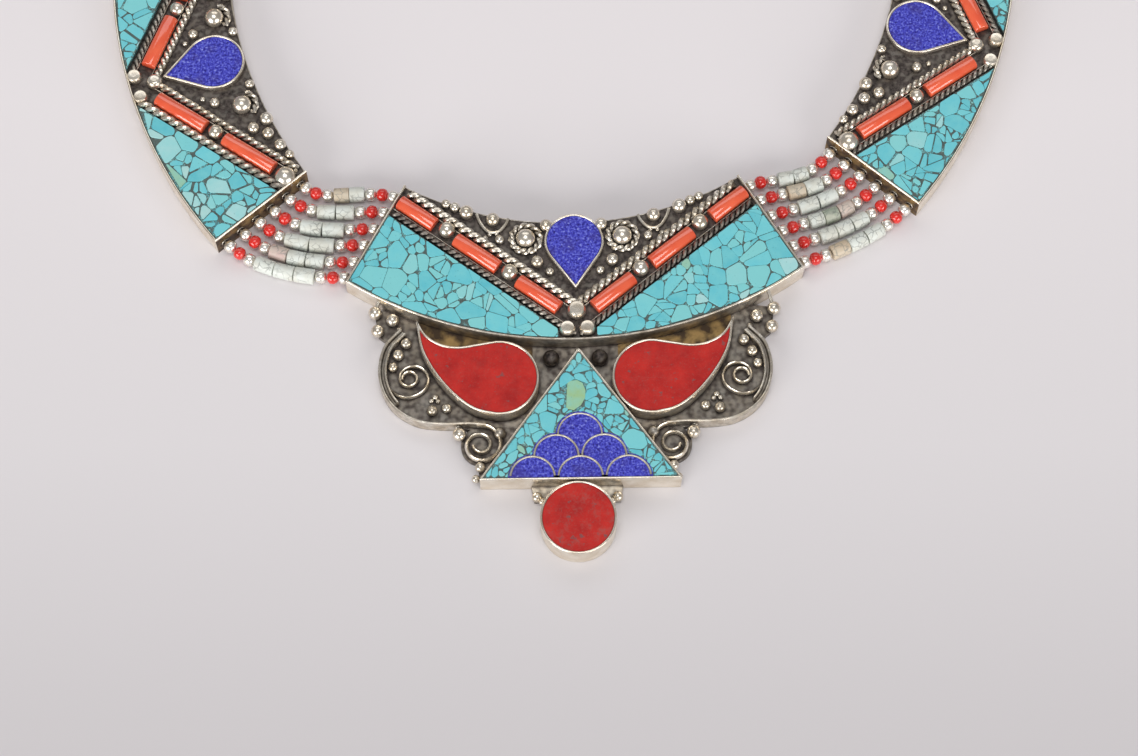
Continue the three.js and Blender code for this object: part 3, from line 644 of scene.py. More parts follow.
def around(count, start=0.0):
    """Cosine and sine of angles that share one whole turn evenly"""
    angles = [start + 2 * math.pi * i / count for i in range(count)]
    return [(math.cos(angle), math.sin(angle)) for angle in angles]


def tube(shape, path, radius, sides=8, closed=False, mark=0.0, kind=0, flatten=1.0):
    rings = [[p + aside * (radius * x) + above * (radius * flatten * z) for x, z in around(sides)]
             for p, (aside, above) in zip(path, frames(path, closed))]
    shape.loft(rings, mark, kind, closed)


def distances(points):
    """Distance along a line at each of its points"""
    result = [0.0]
    for a, b in zip(points, points[1:]):
        result.append(result[-1] + (b - a).length)
    return result


def point_at(points, marks, distance):
    """Point at a distance along a line, marks being the distances at its points"""
    low = min(bisect_right(marks, distance), len(marks) - 1) - 1
    span = marks[low + 1] - marks[low]
    share = (distance - marks[low]) / span if span > 0 else 0
    return points[low].lerp(points[low + 1], min(share, 1))


def spaced(path, step, closed=False):
    """The path again, with even steps of about the given length"""
    points = path + [path[0]] if closed else path
    marks = distances(points)
    count = max(3, round(marks[-1] / step))
    return [point_at(points, marks, marks[-1] * i / count) for i in range(count if closed else count + 1)]


ROPE_STEPS = 10
ROPE_SIDES = 7


def rope(shape, line, height, width, pitch, marks, closed=False):
    """Two wires twisted about each other, each turn taking about the given pitch, with a mark at each
    end of the line"""
    path = lifted(line, height)
    if closed:
        whole = distances(path + path[:1])[-1]
        pitch = whole / max(2, round(whole / pitch))
    path = spaced(path, pitch / ROPE_STEPS, closed)
    wire = width * 0.27
    off = wire * 0.9
    first, last = marks
    mark = []
    for i in range(len(path)):
        mark += [first + (last - first) * i / (len(path) - 1)] * ROPE_SIDES
    for phase in (0.0, math.pi):
        strand = []
        for i, (p, (aside, above)) in enumerate(zip(path, frames(path, closed))):
            angle = phase - 2 * math.pi * i / ROPE_STEPS
            strand.append(p + aside * (off * math.cos(angle)) + above * (off * math.sin(angle)))
        tube(shape, strand, wire, ROPE_SIDES, closed, mark)


BALL_SIDES = 18
BALL_ANGLES = (4, 16, 32, 48, 64, 80, 100, 120, 145, 170)


def ball(shape, x, y, z, radius, mark=0.0, top=1.0):
    """Granule of silver; top below 1 gives it a flattened top"""
    rings = []
    for degrees in reversed(BALL_ANGLES):
        angle = math.radians(degrees)
        across = radius * math.sin(angle)
        height = z + radius * min(math.cos(angle), top)
        rings.append([Vector((x + across * c, y + across * s, height)) for c, s in around(BALL_SIDES)])
    shape.loft(rings, mark)


# Plates
def plate_end(plate):
    inner = plate["inner_radius"] - math.sqrt(plate["inner_radius"] ** 2 - plate["inner_half"] ** 2)
    outer = plate["outer_radius"] - math.sqrt(plate["outer_radius"] ** 2 - plate["outer_half"] ** 2)
    return flat(plate["inner_half"], inner), flat(plate["outer_half"], outer - plate["width"])


def end_frame(plate):
    """The right end of a plate: its corner at the neck, and the directions along it and outwards"""
    inner, outer = plate_end(plate)
    along = (outer - inner).normalized()
    return inner, along, flat(-along.y, along.x)


def strand_spot(plate, index):
    """Where a strand comes out of the right end of a plate"""
    inner, outer = plate_end(plate)
    length = (outer - inner).length
    share = (EDGE_MARGIN + (length - 2 * EDGE_MARGIN) * index / (STRANDS - 1)) / length
    return inner.lerp(outer, share)


def meets(plate, moved, middle, radius):
    """Distances along a plate's end line, moved inwards, at which it meets a circle on the axis"""
    inner, along, out = end_frame(plate)
    start = inner - out * moved
    offset = start - flat(0, middle)
    half = offset.dot(along)
    root = math.sqrt(half * half - offset.length_squared + radius * radius)
    return start, along, sorted([-half + root, -half - root], key=abs)


ARC_STEPS = 48


def plate_lines(plate, within=0.0):
    """Neck edge from the right to the left, and outer edge from the left to the right, both moved
    inwards by the same distance"""
    neck_middle = plate["inner_radius"]
    neck_radius = plate["inner_radius"] + within
    start, along, near = meets(plate, within, neck_middle, neck_radius)
    neck_angle = math.degrees(math.asin((start + along * near[0]).x / neck_radius))
    far_middle = plate["outer_radius"] - plate["width"]
    far_radius = plate["outer_radius"] - within
    start, along, near = meets(plate, within, far_middle, far_radius)
    far_angle = math.degrees(math.asin((start + along * max(near)).x / far_radius))
    neck = arc(flat(0, neck_middle), neck_radius, -90 + neck_angle, -90 - neck_angle, ARC_STEPS)
    far = arc(flat(0, far_middle), far_radius, -90 - far_angle, -90 + far_angle, ARC_STEPS)
    return neck, far


def arm_point(plate, side, share, off):
    inner, outer = plate_end(plate)
    start = inner.lerp(outer, plate["arm_end"])
    apex = flat(0, -plate["apex"] * plate["width"])
    along = (apex - start).normalized()
    point = start.lerp(apex, share) + flat(along.y, -along.x) * off
    return flat(point.x * side, point.y)


def arm_length(plate):
    return (arm_point(plate, 1, 0, 0) - arm_point(plate, 1, 1, 0)).length


def arm_share_at(plate, off, x):
    start = arm_point(plate, 1, 0, off)
    apex = arm_point(plate, 1, 1, off)
    return (start.x - x) / (start.x - apex.x)


def drop_outline(plate, shrink):
    centre = flat(plate["drop_aside"], plate["drop_top"] - plate["drop_radius"])
    radius = plate["drop_radius"] - shrink
    touch = math.degrees(math.asin(1 / DROP["tip"]))
    return arc(centre, radius, -touch, 180 + touch, 40) + [centre - flat(0, radius * DROP["tip"])]


def field_outline(plate, side, clearance):
    """Outline of a turquoise field: the plate's outer part beyond the chevron, on one side"""
    neck, far = plate_lines(plate, RIM + clearance)
    setback = -FIELD_SETBACK - clearance
    apart = FIELD_APART + clearance
    along = (arm_point(plate, 1, 1, 0) - arm_point(plate, 1, 0, 0)).normalized()
    outline = clip(neck + far, arm_point(plate, 1, 0, setback), flat(along.y, -along.x))
    outline = clip(outline, flat(apart, 0), flat(-1, 0))
    return facing_up(mirrored(outline, side))


# The silver work, in a plate's frame
CENTRE_BALLS = [
    (27.0, -1.05, 1.85, 0), (13.9, -11.4, 1.85, 0), (10.3, -3.65, 2.2, 0), (17.2, 1.1, 1.5, 0),
    (27.1, 5.2, 1.05, 0), (25.2, 4.3, 1.15, 0), (22.8, 3.0, 1.6, 0), (5.9, -0.7, 1.4, 0),
    (8.0, -9.1, 1.4, 0.1), (5.4, -11.4, 0.95, 0.25), (15.85, -3.65, 1.05, 0.1), (18.9, -3.2, 0.7, 0.3),
]
SIDE_BALLS = [
    (16.1, -11.0, 1.7, 0), (31.2, 0.3, 2.4, 0), (11.4, -3.8, 2.15, 0), (9.0, -9.3, 1.15, 0.1),
    (6.9, -0.85, 1.05, 0), (16.35, 0.3, 1.5, 0), (17.6, -2.96, 1.35, 0), (19.9, -0.3, 1.35, 0),
    (23.4, 1.4, 1.35, 0), (26.2, 2.7, 1.05, 0), (7.3, -11.6, 0.6, 0.1), (24.6, -0.9, 0.7, 0.3),
]
FLOOR_RISE = 0.3
GRANULE_TOP = 7.3


def granules(shape, table):
    for side in (-1, 1):
        for x, y, radius, mark in table:
            height = min(FLOOR + FLOOR_RISE * radius, GRANULE_TOP - radius)
            ball(shape, x * side, y, height, radius, mark)


# Twisted wires beside the rods: off the rods' line, width, pitch, and the marks at the plate's end
# and at the apex
CENTRE_ROPES = [(2.9, 2.2, 4.0, 0.05, 0.0), (-2.85, 1.7, 3.0, 0.85, 0.7)]
SIDE_ROPES = [(2.75, 1.8, 3.4, 0.05, 0.0), (-2.75, 1.55, 3.0, 0.7, 0.6)]
# the outer rope of the left plate's lower arm turns bright at the apex: a painted reflection
LEFT_LOWER_ROPES = [(2.75, 1.8, 3.4, 0.0, 0.0), (-2.9, 2.2, 4.2, 0.6, -0.3)]


def ropes(shape, plate, table, side):
    middle = flat(0, plate["outer_radius"] - plate["width"])
    for off, width, pitch, end_mark, apex_mark in table:
        last = arm_share_at(plate, off, 0)
        reach = plate["outer_radius"] - RIM - width / 2
        line = spaced([arm_point(plate, side, 0.035, off), arm_point(plate, side, last, off)], 0.4)
        line = [p for p in line if (p - middle).length < reach]
        rope(shape, line, FLOOR + width * 0.22, width, pitch, (end_mark, apex_mark))


ROD_BEZEL = {"clear": 0.06, "width": 0.22, "low": FLOOR - 0.2, "high": FLOOR + 0.62, "mark": 0.25}


def rod_bezels(shape, plate):
    """Strips of sheet along both sides of each row of rods"""
    strip = ROD_BEZEL
    beside = ROD_WIDTH / 2 + strip["clear"]
    for side in (-1, 1):
        for off in (-beside - strip["width"], beside):
            last = arm_share_at(plate, off, 1.5)
            line = spaced([arm_point(plate, side, 0.02, off), arm_point(plate, side, last, off)], 2.0)
            if side < 0:
                line.reverse()
            wall(shape, line, strip["width"], strip["low"], strip["high"], False, strip["mark"])


# How far the floor's own sides stay inside the walls
FLOOR_WITHIN = 0.05
NECK_WALL = {"width": 0.25, "top": FLOOR + 0.12}
# Marks of the plates' outer walls, the darker one for the stretch that the pendant hangs from
WALL_MARK = -0.3
DARK_WALL_MARK = 0.5


def plate_body(shape, plate, balls, rope_tables):
    neck, far = plate_lines(plate, FLOOR_WITHIN)
    slab(shape, neck + far, 0.0, FLOOR, mark=1.0)
    neck, far = plate_lines(plate)
    line = [neck[-1]] + far + [neck[0]]
    dark_half = plate.get("dark_half", 0)
    marks = [DARK_WALL_MARK if abs(p.x) < dark_half else WALL_MARK for p in line]
    wall(shape, line, RIM, 0.0, THICKNESS, False, marks)
    # the wall of the neck edge stops at the floor
    wall(shape, neck, NECK_WALL["width"], 0.0, NECK_WALL["top"], False, 0.5)
    wall(shape, facing_up(drop_outline(plate, 0)), DROP["rim"], 0.0, THICKNESS, mark=-0.35, foot=0.9)
    slab(shape, drop_outline(plate, DROP["rim"] * 0.6), 0.0, FLOOR, mark=0.8)
    granules(shape, balls)
    for side, table in zip((-1, 1), rope_tables):
        ropes(shape, plate, table, side)
    rod_bezels(shape, plate)
    end_skins(shape, plate)
    strand_collars(shape, plate)


def end_skins(shape, plate):
    """Stained outer faces of the two walls that the strands come from"""
    inner, outer = plate_end(plate)
    out = end_frame(plate)[2]
    strip = [inner - out * 0.02, outer - out * 0.02, outer + out * 0.03, inner + out * 0.03]
    for side in (-1, 1):
        slab(shape, mirrored(strip, side), 0.2, THICKNESS - 0.3, kind=1)


COLLAR = {"radius": 0.85, "wire": 0.16, "off": 0.08, "steps": 16, "wire_sides": 6, "mark": 0.2}


def strand_collars(shape, plate):
    """Ring of wire round each hole that a strand comes from"""
    _, along, out = end_frame(plate)
    wire = COLLAR["wire"]
    for side in (-1, 1):
        aside = Vector((along.x * side, along.y, 0))
        outwards = Vector((out.x * side, out.y, 0))
        for i in range(STRANDS):
            spot = strand_spot(plate, i)
            middle = Vector((spot.x * side, spot.y, HOLE_HEIGHT)) + outwards * COLLAR["off"]
            rings = []
            for c, s in around(COLLAR["steps"]):
                spoke = aside * c + Vector((0, 0, s))
                rings.append([middle + spoke * (COLLAR["radius"] + wire * a) + outwards * (wire * b)
                              for a, b in around(COLLAR["wire_sides"])])
            shape.loft(rings, COLLAR["mark"], closed=True)


# Twisted wire round or beside a large granule: where the arc starts and ends, and its steps
GRANULE_WIRE = {"radius": 3.0, "height": FLOOR + 0.4, "width": 1.55, "pitch": 3.2, "marks": (0.08, 0.08)}
CENTRE_TURN = (0, 352.5, 47)
SIDE_TURN = (38, 150, 15)
# Flattened granules at the apex: place, rise above the floor, radius, and how far up they are cut
CENTRE_APEX = [(-2.1, -24.75, 0.2, 1.85, 0.72), (2.1, -24.75, 0.2, 1.85, 0.72), (0, -20.7, 0.6, 2.05, 0.7)]
SIDE_APEX = [(-2.7, -24.3, 0.2, 1.75, 0.72), (2.7, -24.3, 0.2, 1.75, 0.72), (0, -20.4, 0.5, 1.75, 0.8)]
# Bent plain wire on the centre plate, with two small granules below it
LOOP_LINE = [(20.6, 2.6), (19.9, 0.6), (18.6, -1.3), (17.2, -1.9), (15.7, -1.5), (14.4, 0.0), (13.9, 1.3)]
LOOP_WIRE = 0.36
LOOP_SEEDS = [(17.9, -2.3), (16.4, -2.2)]
LOOP_SEED_RADIUS = 0.5


def trim(shape, x, y, turn, apex, closed=False):
    """Twisted wire by the two large granules, and the flattened ones at the plate's apex"""
    wire = GRANULE_WIRE
    for side in (-1, 1):
        line = arc(flat(x * side, y), wire["radius"], *turn)
        rope(shape, line, wire["height"], wire["width"], wire["pitch"], wire["marks"], closed)
    for spot_x, spot_y, rise, radius, top in apex:
        ball(shape, spot_x, spot_y, FLOOR + rise, radius, 0.0, top)


def wire_loops(shape):
    for side in (-1, 1):
        path = smooth_line([Vector((x * side, y, FLOOR + 0.3)) for x, y in LOOP_LINE], 5)
        tube(shape, path, LOOP_WIRE, mark=0.05)
        for x, y in LOOP_SEEDS:
            ball(shape, x * side, y, FLOOR + 0.2, LOOP_SEED_RADIUS, 0.05)


# Pendant, in the centre plate's frame before its own slight turn
def pendant_point(side, across, down):
    return flat(side * across * PENDANT["half_width"], -CENTRE["width"] - down * PENDANT["drop"])


PENDANT_BASE = pendant_point(1, 0, 1).y


def paisley_outline(side):
    middle = pendant_point(1, PAISLEY["across"], PAISLEY["down"])
    radius = PAISLEY["head_radius"]
    tip = middle + Vector(PAISLEY_TIP) * radius
    head = arc(middle, radius, *PAISLEY_HEAD, 24)
    upper = [tip] + [middle + Vector(p) * radius for p in PAISLEY_UPPER] + [head[0]]
    lower = [head[-1]] + [middle + Vector(p) * radius for p in PAISLEY_LOWER] + [tip]
    outline = smooth_line(upper, 5) + head[1:-1] + smooth_line(lower, 5)[:-1]
    return facing_up(mirrored(outline, side))


def triangle_outline():
    top = pendant_point(1, 0, TRIANGLE["top"]).y
    x = PENDANT["lean"]
    half = TRIANGLE["half_base"]
    return facing_up([flat(x, top), flat(x - half, PENDANT_BASE), flat(x + half, PENDANT_BASE)])


def rounded_corners(loop, radius, steps=4):
    """The outline with each corner turned by a short arc-like curve"""
    result = []
    for i, p in enumerate(loop):
        before = (loop[i - 1] - p).normalized()
        after = (loop[(i + 1) % len(loop)] - p).normalized()
        a, b = p + before * radius, p + after * radius
        for j in range(steps + 1):
            t = j / steps
            result.append(a * (1 - t) ** 2 + p * (2 * t * (1 - t)) + b * t * t)
    return result


DISC_CENTRE = flat(DISC["aside"], PENDANT_BASE - DISC["radius"] - GAP)


def scale_middles():
    """Middles of the fish scales, row by row from the lowest"""
    lowest = PENDANT_BASE + SCALES["low"]
    rows = []
    for row in range(SCALES["rows"]):
        count = SCALES["rows"] - row
        rows.append([flat(PENDANT["lean"] + (i - (count - 1) / 2) * SCALES["pitch"],
                          lowest + row * SCALES["rise"]) for i in range(count)])
    return rows


PENDANT_BALLS = [
    (35.6, -26.5, 1.2, 0.1), (37.2, -29.1, 1.2, 0), (38.3, -31.8, 1.05, 0), (29.4, -38.6, 0.65, 0),
    (30.2, -39.4, 0.55, 0), (28.8, -39.5, 0.55, 0), (30.0, -41.7, 1.15, 0.1), (27.0, -41.2, 1.05, 0),
    (24.3, -47.2, 1.45, 0), (24.6, -45.3, 0.75, 0.1), (20.0, -54.4, 1.1, 0), (20.9, -56.9, 0.9, 0),
    (8.3, -61.1, 1.1, 0), (7.3, -61.9, 0.75, 0), (5.1, -30.4, 1.75, 0.9), (15.9, -47.0, 1.3, 0.5),
    (42.2, -19.5, 1.45, 0), (38.5, -21.15, 1.4, 0), (41.6, -23.6, 1.4, 0), (37.0, -23.2, 0.6, 0.2),
]
PENDANT_RISE = 0.7
PENDANT_TARNISH = 0.12


def spiral(side, scroll):
    middle = pendant_point(1, scroll["across"], scroll["down"])
    radii = smooth_line([flat(radius, 0) for radius in scroll["radii"]], 7)
    points = []
    for i, radius in enumerate(radii):
        angle = math.radians(scroll["start"] + scroll["turn"] * 90 * i / 7)
        points.append(middle + flat(math.cos(angle), math.sin(angle)) * radius.x)
    return mirrored(points, side)


def pendant_sheet(side):
    low = SCROLLS[1]
    middle = pendant_point(1, low["across"], low["down"])
    edge = smooth_line([pendant_point(1, *p) for p in SCROLL_EDGE], 5)[4:-4]
    outline = [pendant_point(1, *p) for p in SHEET_SHOULDER] + edge
    outline += arc(middle, SHEET_ROUND["radius"], SHEET_ROUND["from"], SHEET_ROUND["to"], 20)
    outline += [pendant_point(1, *p) for p in SHEET_FOOT]
    return mirrored(outline, side)


# Wires along the edge of the sheet: off the edge, width, bottom, top and mark. The first runs the
# whole edge, and the others its upper part.
EDGE_WIRES = [(-0.3, 0.6, 0.0, SCROLL_TOP, 0.3), (1.0, 0.5, 0.5, SCROLL_TOP - 0.1, 0.1),
              (0.3, 0.8, 0.5, SCROLL_TOP - 0.5, 0.4)]
UPPER_SCROLL = {"radius": 0.34, "height": PENDANT["sheet"] + 0.75}
LOWER_SCROLL = {"radius": 0.42, "height": SCROLL_TOP - 1.0, "sinks": 0.6, "by": 0.55}
SCROLL_FLATTEN = 2.2


def scroll_wires(shape, side):
    low = spiral(side, SCROLLS[1])
    edge = smooth_line([pendant_point(side, *p) for p in SCROLL_EDGE] + [low[2]], 6)
    # the line runs clockwise about the pendant on the right side, where its left is outwards
    inwards = -1 if side > 0 else 1
    aside = [s * inwards for s in offsets(edge, False)]
    for number, (off, width, bottom, top, mark) in enumerate(EDGE_WIRES):
        end = len(edge) if number == 0 else len(edge) * 5 // 9
        line = [p + s * off for p, s in zip(edge, aside)][:end]
        ribbon_wall(shape, line, aside[:end], width, bottom, top, mark)
    path = lifted(spiral(side, SCROLLS[0]), UPPER_SCROLL["height"])
    tube(shape, path, UPPER_SCROLL["radius"], flatten=SCROLL_FLATTEN)
    path = []
    for i, p in enumerate(low):
        share = min(i / (len(low) * LOWER_SCROLL["by"]), 1)
        path.append(Vector((p.x, p.y, LOWER_SCROLL["height"] - LOWER_SCROLL["sinks"] * share)))
    tube(shape, path, LOWER_SCROLL["radius"], mark=0.05, flatten=SCROLL_FLATTEN)


# The stretch of sheet between the plate and a paisley, stained the colour of old brass
STAINED_PATCH = [(9.0, -27.0), (9.0, -31.0), (17.0, -34.0), (25.0, -32.0), (29.5, -30.0), (31.8, -27.0),
                 (33.2, -22.5), (33.0, -19.5), (20.0, -25.0)]
# Wire that joins the cluster of granules to the plate's wall
LINK_WIRE = [(42.1, -19.6, 2.6), (41.5, -17.6, 3.6), (40.7, -15.9, THICKNESS - 0.4)]
TRIANGLE_ROUND = 0.7


def setting(shape, outline, line, mark=-0.3, foot=None):
    """Wall round a stone along a line, with the bed that the stone lies on"""
    wall(shape, line, RIM, 0.0, THICKNESS, mark=mark, foot=foot)
    slab(shape, inset(outline, RIM * 0.6), 0.0, THICKNESS - 1.2, mark=0.7)


def neck_sheet_outline():
    top, foot = PENDANT_BASE + RIM, PENDANT_BASE - NECK_SHEET["length"]
    return [flat(-NECK_SHEET["half_top"], top), flat(NECK_SHEET["half_top"], top),
            flat(NECK_SHEET["half_foot"], foot), flat(-NECK_SHEET["half_foot"], foot)]


def pendant_silver(shape):
    sheet = PENDANT["sheet"]
    for side in (-1, 1):
        slab(shape, pendant_sheet(side), 0.0, sheet, 0.1, 0.82)
        patch = mirrored([flat(*p) for p in STAINED_PATCH], side)
        slab(shape, patch, sheet - 0.1, sheet + 0.03, mark=0.2, kind=1)
        scroll_wires(shape, side)
        outline = paisley_outline(side)
        setting(shape, outline, outline, -0.25, 1.1)
        for x, y, radius, mark in PENDANT_BALLS:
            ball(shape, x * side, y, sheet + radius * PENDANT_RISE, radius, mark + PENDANT_TARNISH)
        link = [Vector((x * side, y, z)) for x, y, z in LINK_WIRE]
        tube(shape, smooth_line(link, 4), 0.4)
    slab(shape, neck_sheet_outline(), 0.0, sheet, 0.1, 0.6)
    triangle = triangle_outline()
    setting(shape, triangle, facing_up(rounded_corners(triangle, TRIANGLE_ROUND)))
    disc = circle(DISC_CENTRE, DISC["radius"])
    setting(shape, disc, disc)
    scale_wires(shape)


SCALE_STEP = 0.05


def scale_wires(shape):
    base = PENDANT_BASE + RIM
    for row, middles in enumerate(scale_middles()):
        top = THICKNESS + 0.02 - row * SCALE_STEP
        for middle in middles:
            line = [p for p in arc(middle, SCALES["radius"] + 0.46, -24, 204, 40) if p.y > base]
            wall(shape, line, 0.64, THICKNESS - 0.8, top, False, 0.3)


# Stones. How the turquoise of each plate is laid: size of the chips, the cement between them from
# the narrowest to the widest, the shares of pale and of green chips, and discs of chips painted pale
# for a painted glare and of faded ones
CENTRE_CHIPS = {"size": 4.6, "crack": (0.0, 0.22), "pale": 0.02, "green": 0.01,
                "faded": [((-19.0, -18.2), 2.4), ((-23.4, -16.3), 2.2), ((-32.3, -9.3), 2.6),
                          ((24.3, -13.2), 2.4), ((36.0, -13.5), 2.2)]}
LEFT_CHIPS = {"size": 5.0, "crack": (0.03, 0.42), "pale": 0.04, "green": 0.01,
              # discs where the chips are painted pale: a painted glare on the field
              "painted_glare": [((6.9, -23.9), 5.5), ((16.4, -23.7), 4.0), ((32.2, -20.4), 4.0),
                           ((37.1, -10.2), 2.5)]}
RIGHT_CHIPS = {"size": 4.2, "crack": (0.03, 0.36), "pale": 0.05, "green": 0.02,
               "faded": [((-30.2, -10.8), 3.0), ((-27.0, -12.5), 2.0)]}
PENDANT_CHIPS = {"size": 3.7, "crack": (0.02, 0.26), "pale": 0.0, "green": 0.03}
LEAST_CHIP = 0.22
SEED_TRIES = 4000


def chips(shape, region, look, seed, holes=()):
    """Broken chips set in cement: cells round uneven seeds, most of them split again by straight
    breaks, each with a narrow margin of cement. Holes are discs that the chips stay out of."""
    draw = random.Random(seed)
    size = look["size"]
    lows = flat(min(p.x for p in region), min(p.y for p in region))
    highs = flat(max(p.x for p in region), max(p.y for p in region))
    seeds = []
    for _ in range(SEED_TRIES):
        spot = flat(draw.uniform(lows.x - size, highs.x + size),
                    draw.uniform(lows.y - size, highs.y + size))
        apart = size * draw.uniform(0.7, 1.3)
        if all((spot - other).length > apart for other in seeds):
            seeds.append(spot)
    for spot in seeds:
        cell = region
        for other in seeds:
            apart = other - spot
            if 0 < apart.length < 4 * size:
                cell = clip(cell, (spot + other) / 2, apart)
        if len(cell) > 2:
            for shard in broken(cell, size * size * draw.choice((0.3, 0.7, 1.5)), draw):
                set_chip(shape, shard, look, holes, draw)


def broken(cell, largest, draw):
    """A cell split by straight lines until no part is larger than asked"""
    if abs(signed_area(cell)) < largest:
        return [cell]
    middle = middle_of(cell)
    far = max(cell, key=lambda p: (p - middle).length) - middle
    angle = math.atan2(far.y, far.x) + draw.uniform(-0.7, 0.7)
    normal = flat(math.cos(angle), math.sin(angle))
    point = middle + far * draw.uniform(-0.25, 0.25)
    parts = [clip(cell, point, normal), clip(cell, point, -normal)]
    return [shard for part in parts if len(part) > 2 for shard in broken(part, largest, draw)]


def set_chip(shape, cell, look, holes, draw):
    cell = tidy_loop(facing_up(cell))
    for centre, radius in holes:
        if len(cell) < 3:
            return
        away = middle_of(cell) - centre
        far = max(cell, key=lambda p: (p - centre).length) - centre
        if far.length < radius:
            return
        if away.length < radius + 6:
            normal = (far if away.length < radius else away).normalized()
            cell = tidy_loop(clip(cell, centre + normal * radius, -normal))
    if len(cell) < 3 or signed_area(cell) < LEAST_CHIP:
        return
    middle = middle_of(cell)
    if draw.random() < 0.4:
        corner = draw.choice(cell)
        normal = (corner - middle).normalized()
        cell = tidy_loop(clip(cell, corner - normal * draw.uniform(0.2, 0.6), normal))
    if len(cell) < 3 or signed_area(cell) < LEAST_CHIP:
        return
    shrunk = tidy_loop(shrink(cell, look["crack"], draw))
    if len(shrunk) < 3 or signed_area(shrunk) < LEAST_CHIP / 2:
        return
    chip(shape, worn(shrunk, draw), tint_of(look, middle, draw), draw)


def tint_of(look, middle, draw):
    pick = draw.random()
    # chips in a glare disc are painted pale for a painted glare; those in a faded disc are paler stone
    for kind, low, high in (("painted_glare", 0.62, 0.78), ("faded", 0.52, 0.67)):
        for spot, radius in look.get(kind, ()):
            if (middle - flat(*spot)).length < radius:
                return draw.uniform(low, high)
    if pick < look["green"]:
        return draw.uniform(0.87, 0.93)
    if pick < look["green"] + look["pale"]:
        return draw.uniform(0.7, 0.78)
    return draw.random() * 0.6


def tidy_loop(loop):
    """The outline without points that nearly touch"""
    return [p for i, p in enumerate(loop) if (p - loop[i - 1]).length > 0.06]


def worn(loop, draw):
    """The outline with each corner taken off a little"""
    result = []
    for i, p in enumerate(loop):
        before, after = loop[i - 1] - p, loop[(i + 1) % len(loop)] - p
        reach = min(before.length, after.length) * 0.36
        cut = min(draw.uniform(0.12, 0.65), reach)
        result += [p + before.normalized() * cut, p + after.normalized() * cut]
    return result


def shrink(loop, crack, draw):
    """A convex or nearly convex outline cut back by its own edges, each by its own distance"""
    result = loop
    low, high = crack
    for i, p in enumerate(loop):
        q = loop[(i + 1) % len(loop)]
        along = (q - p).normalized()
        outwards = flat(along.y, -along.x)
        if all((r - p).dot(outwards) < 0.2 for r in loop):
            result = clip(result, p - outwards * (low + (high - low) * draw.random() ** 2.5), outwards)
    return result


def chip(shape, cell, tint, draw):
    middle = middle_of(cell)
    height = THICKNESS - draw.uniform(0.0, 0.06)
    bevel = draw.uniform(0.04, 0.08)
    moved = []
    for p in cell:
        away = middle - p
        moved.append(p + away * min(bevel / max(away.length, 0.01), 0.4))
    tilt = flat(draw.uniform(-0.01, 0.01), draw.uniform(-0.01, 0.01))
    rings = [lifted(cell, THICKNESS - 0.8), lifted(cell, height - bevel)]
    rings.append([Vector((p.x, p.y, height + tilt.dot(p - middle))) for p in moved])
    shape.loft(rings, tint)


CEMENT_BOTTOM = THICKNESS - 1.45
CEMENT_TOP = THICKNESS - 0.16
INLAY_BOTTOM = THICKNESS - 1.4
INLAY_TOP = THICKNESS - 0.1
STONE_CLEAR = 0.03            # between a stone and the wall round it
CHIPS_CLEAR = 0.04            # between the chips and the edge of their cement


def turquoise_field(name, place, region, look, seed):
    shape = Shape(place)
    slab(shape, region, CEMENT_BOTTOM, CEMENT_TOP, kind=1)
    chips(shape, inset_region(region, CHIPS_CLEAR), look, seed)
    shape.make(name, [TURQUOISE, CEMENT], sharp=25)


def inset_region(region, distance):
    return [p + s * distance for p, s in zip(region, offsets(region))]


ROD_SWELL = 0.8               # below 1 the rod's section is fuller than half a circle
ROD_SIDE = 0.35               # upright lowest part of the rod's sides


def rod(name, plate, side, share, place):
    """Half-round coral rod with bevelled ends, lying on the floor"""
    first = (RIM + 2 * GAP) / arm_length(plate)
    start, finish = (arm_point(plate, side, first + end * (1 - first), 0) for end in share)
    along = (finish - start).normalized()
    aside = flat(-along.y, along.x)
    length = (finish - start).length
    bevel = [(0.0, ROD_BEVEL), (ROD_BEVEL * 0.3, ROD_BEVEL * 0.3), (ROD_BEVEL, 0.0)]
    sections = bevel + [(length / 2, 0.0)]
    sections += [(length - distance, less) for distance, less in reversed(bevel)]
    rings = []
    for distance, less in sections:
        middle = start + along * distance
        half = ROD_WIDTH / 2 - less
        tall = ROD_HEIGHT - less
        ring = [(-half, 0.0)]
        for i in range(17):
            angle = math.pi * (1 - i / 16)
            swell = abs(math.sin(angle)) ** ROD_SWELL
            ring.append((half * math.cos(angle), ROD_SIDE + (tall - ROD_SIDE) * swell))
        ring.append((half, 0.0))
        rings.append([Vector((*(middle + aside * x), FLOOR + GAP * 0.3 + z)) for x, z in ring])
    shape = Shape(place)
    shape.loft(rings)
    shape.make(name, [CORAL], sharp=50)


def plate_stones(label, plate, place, look, seed):
    for number, (hand, side) in enumerate((("a", -1), ("b", 1))):
        region = field_outline(plate, side, GAP * 0.3)
        turquoise_field(f"{label}_turquoise_{hand}", place, region, look, seed + number)
        for i, share in enumerate(plate["rods"]):
            rod(f"{label}_coral_rod_{hand}{i + 1}", plate, side, share, place)
    shape = Shape(place)
    outline = drop_outline(plate, DROP["rim"] + STONE_CLEAR)
    domed(shape, outline, THICKNESS - 1.5, THICKNESS - 0.12, 0.12, 0.9)
    shape.make(f"{label}_lapis_drop", [LAPIS])


def red_inlay(name, outline, mark):
    shape = Shape(PENDANT_PLACE)
    slab(shape, outline, INLAY_BOTTOM, INLAY_TOP, 0.05, mark)
    shape.make(name, [RED_INLAY])


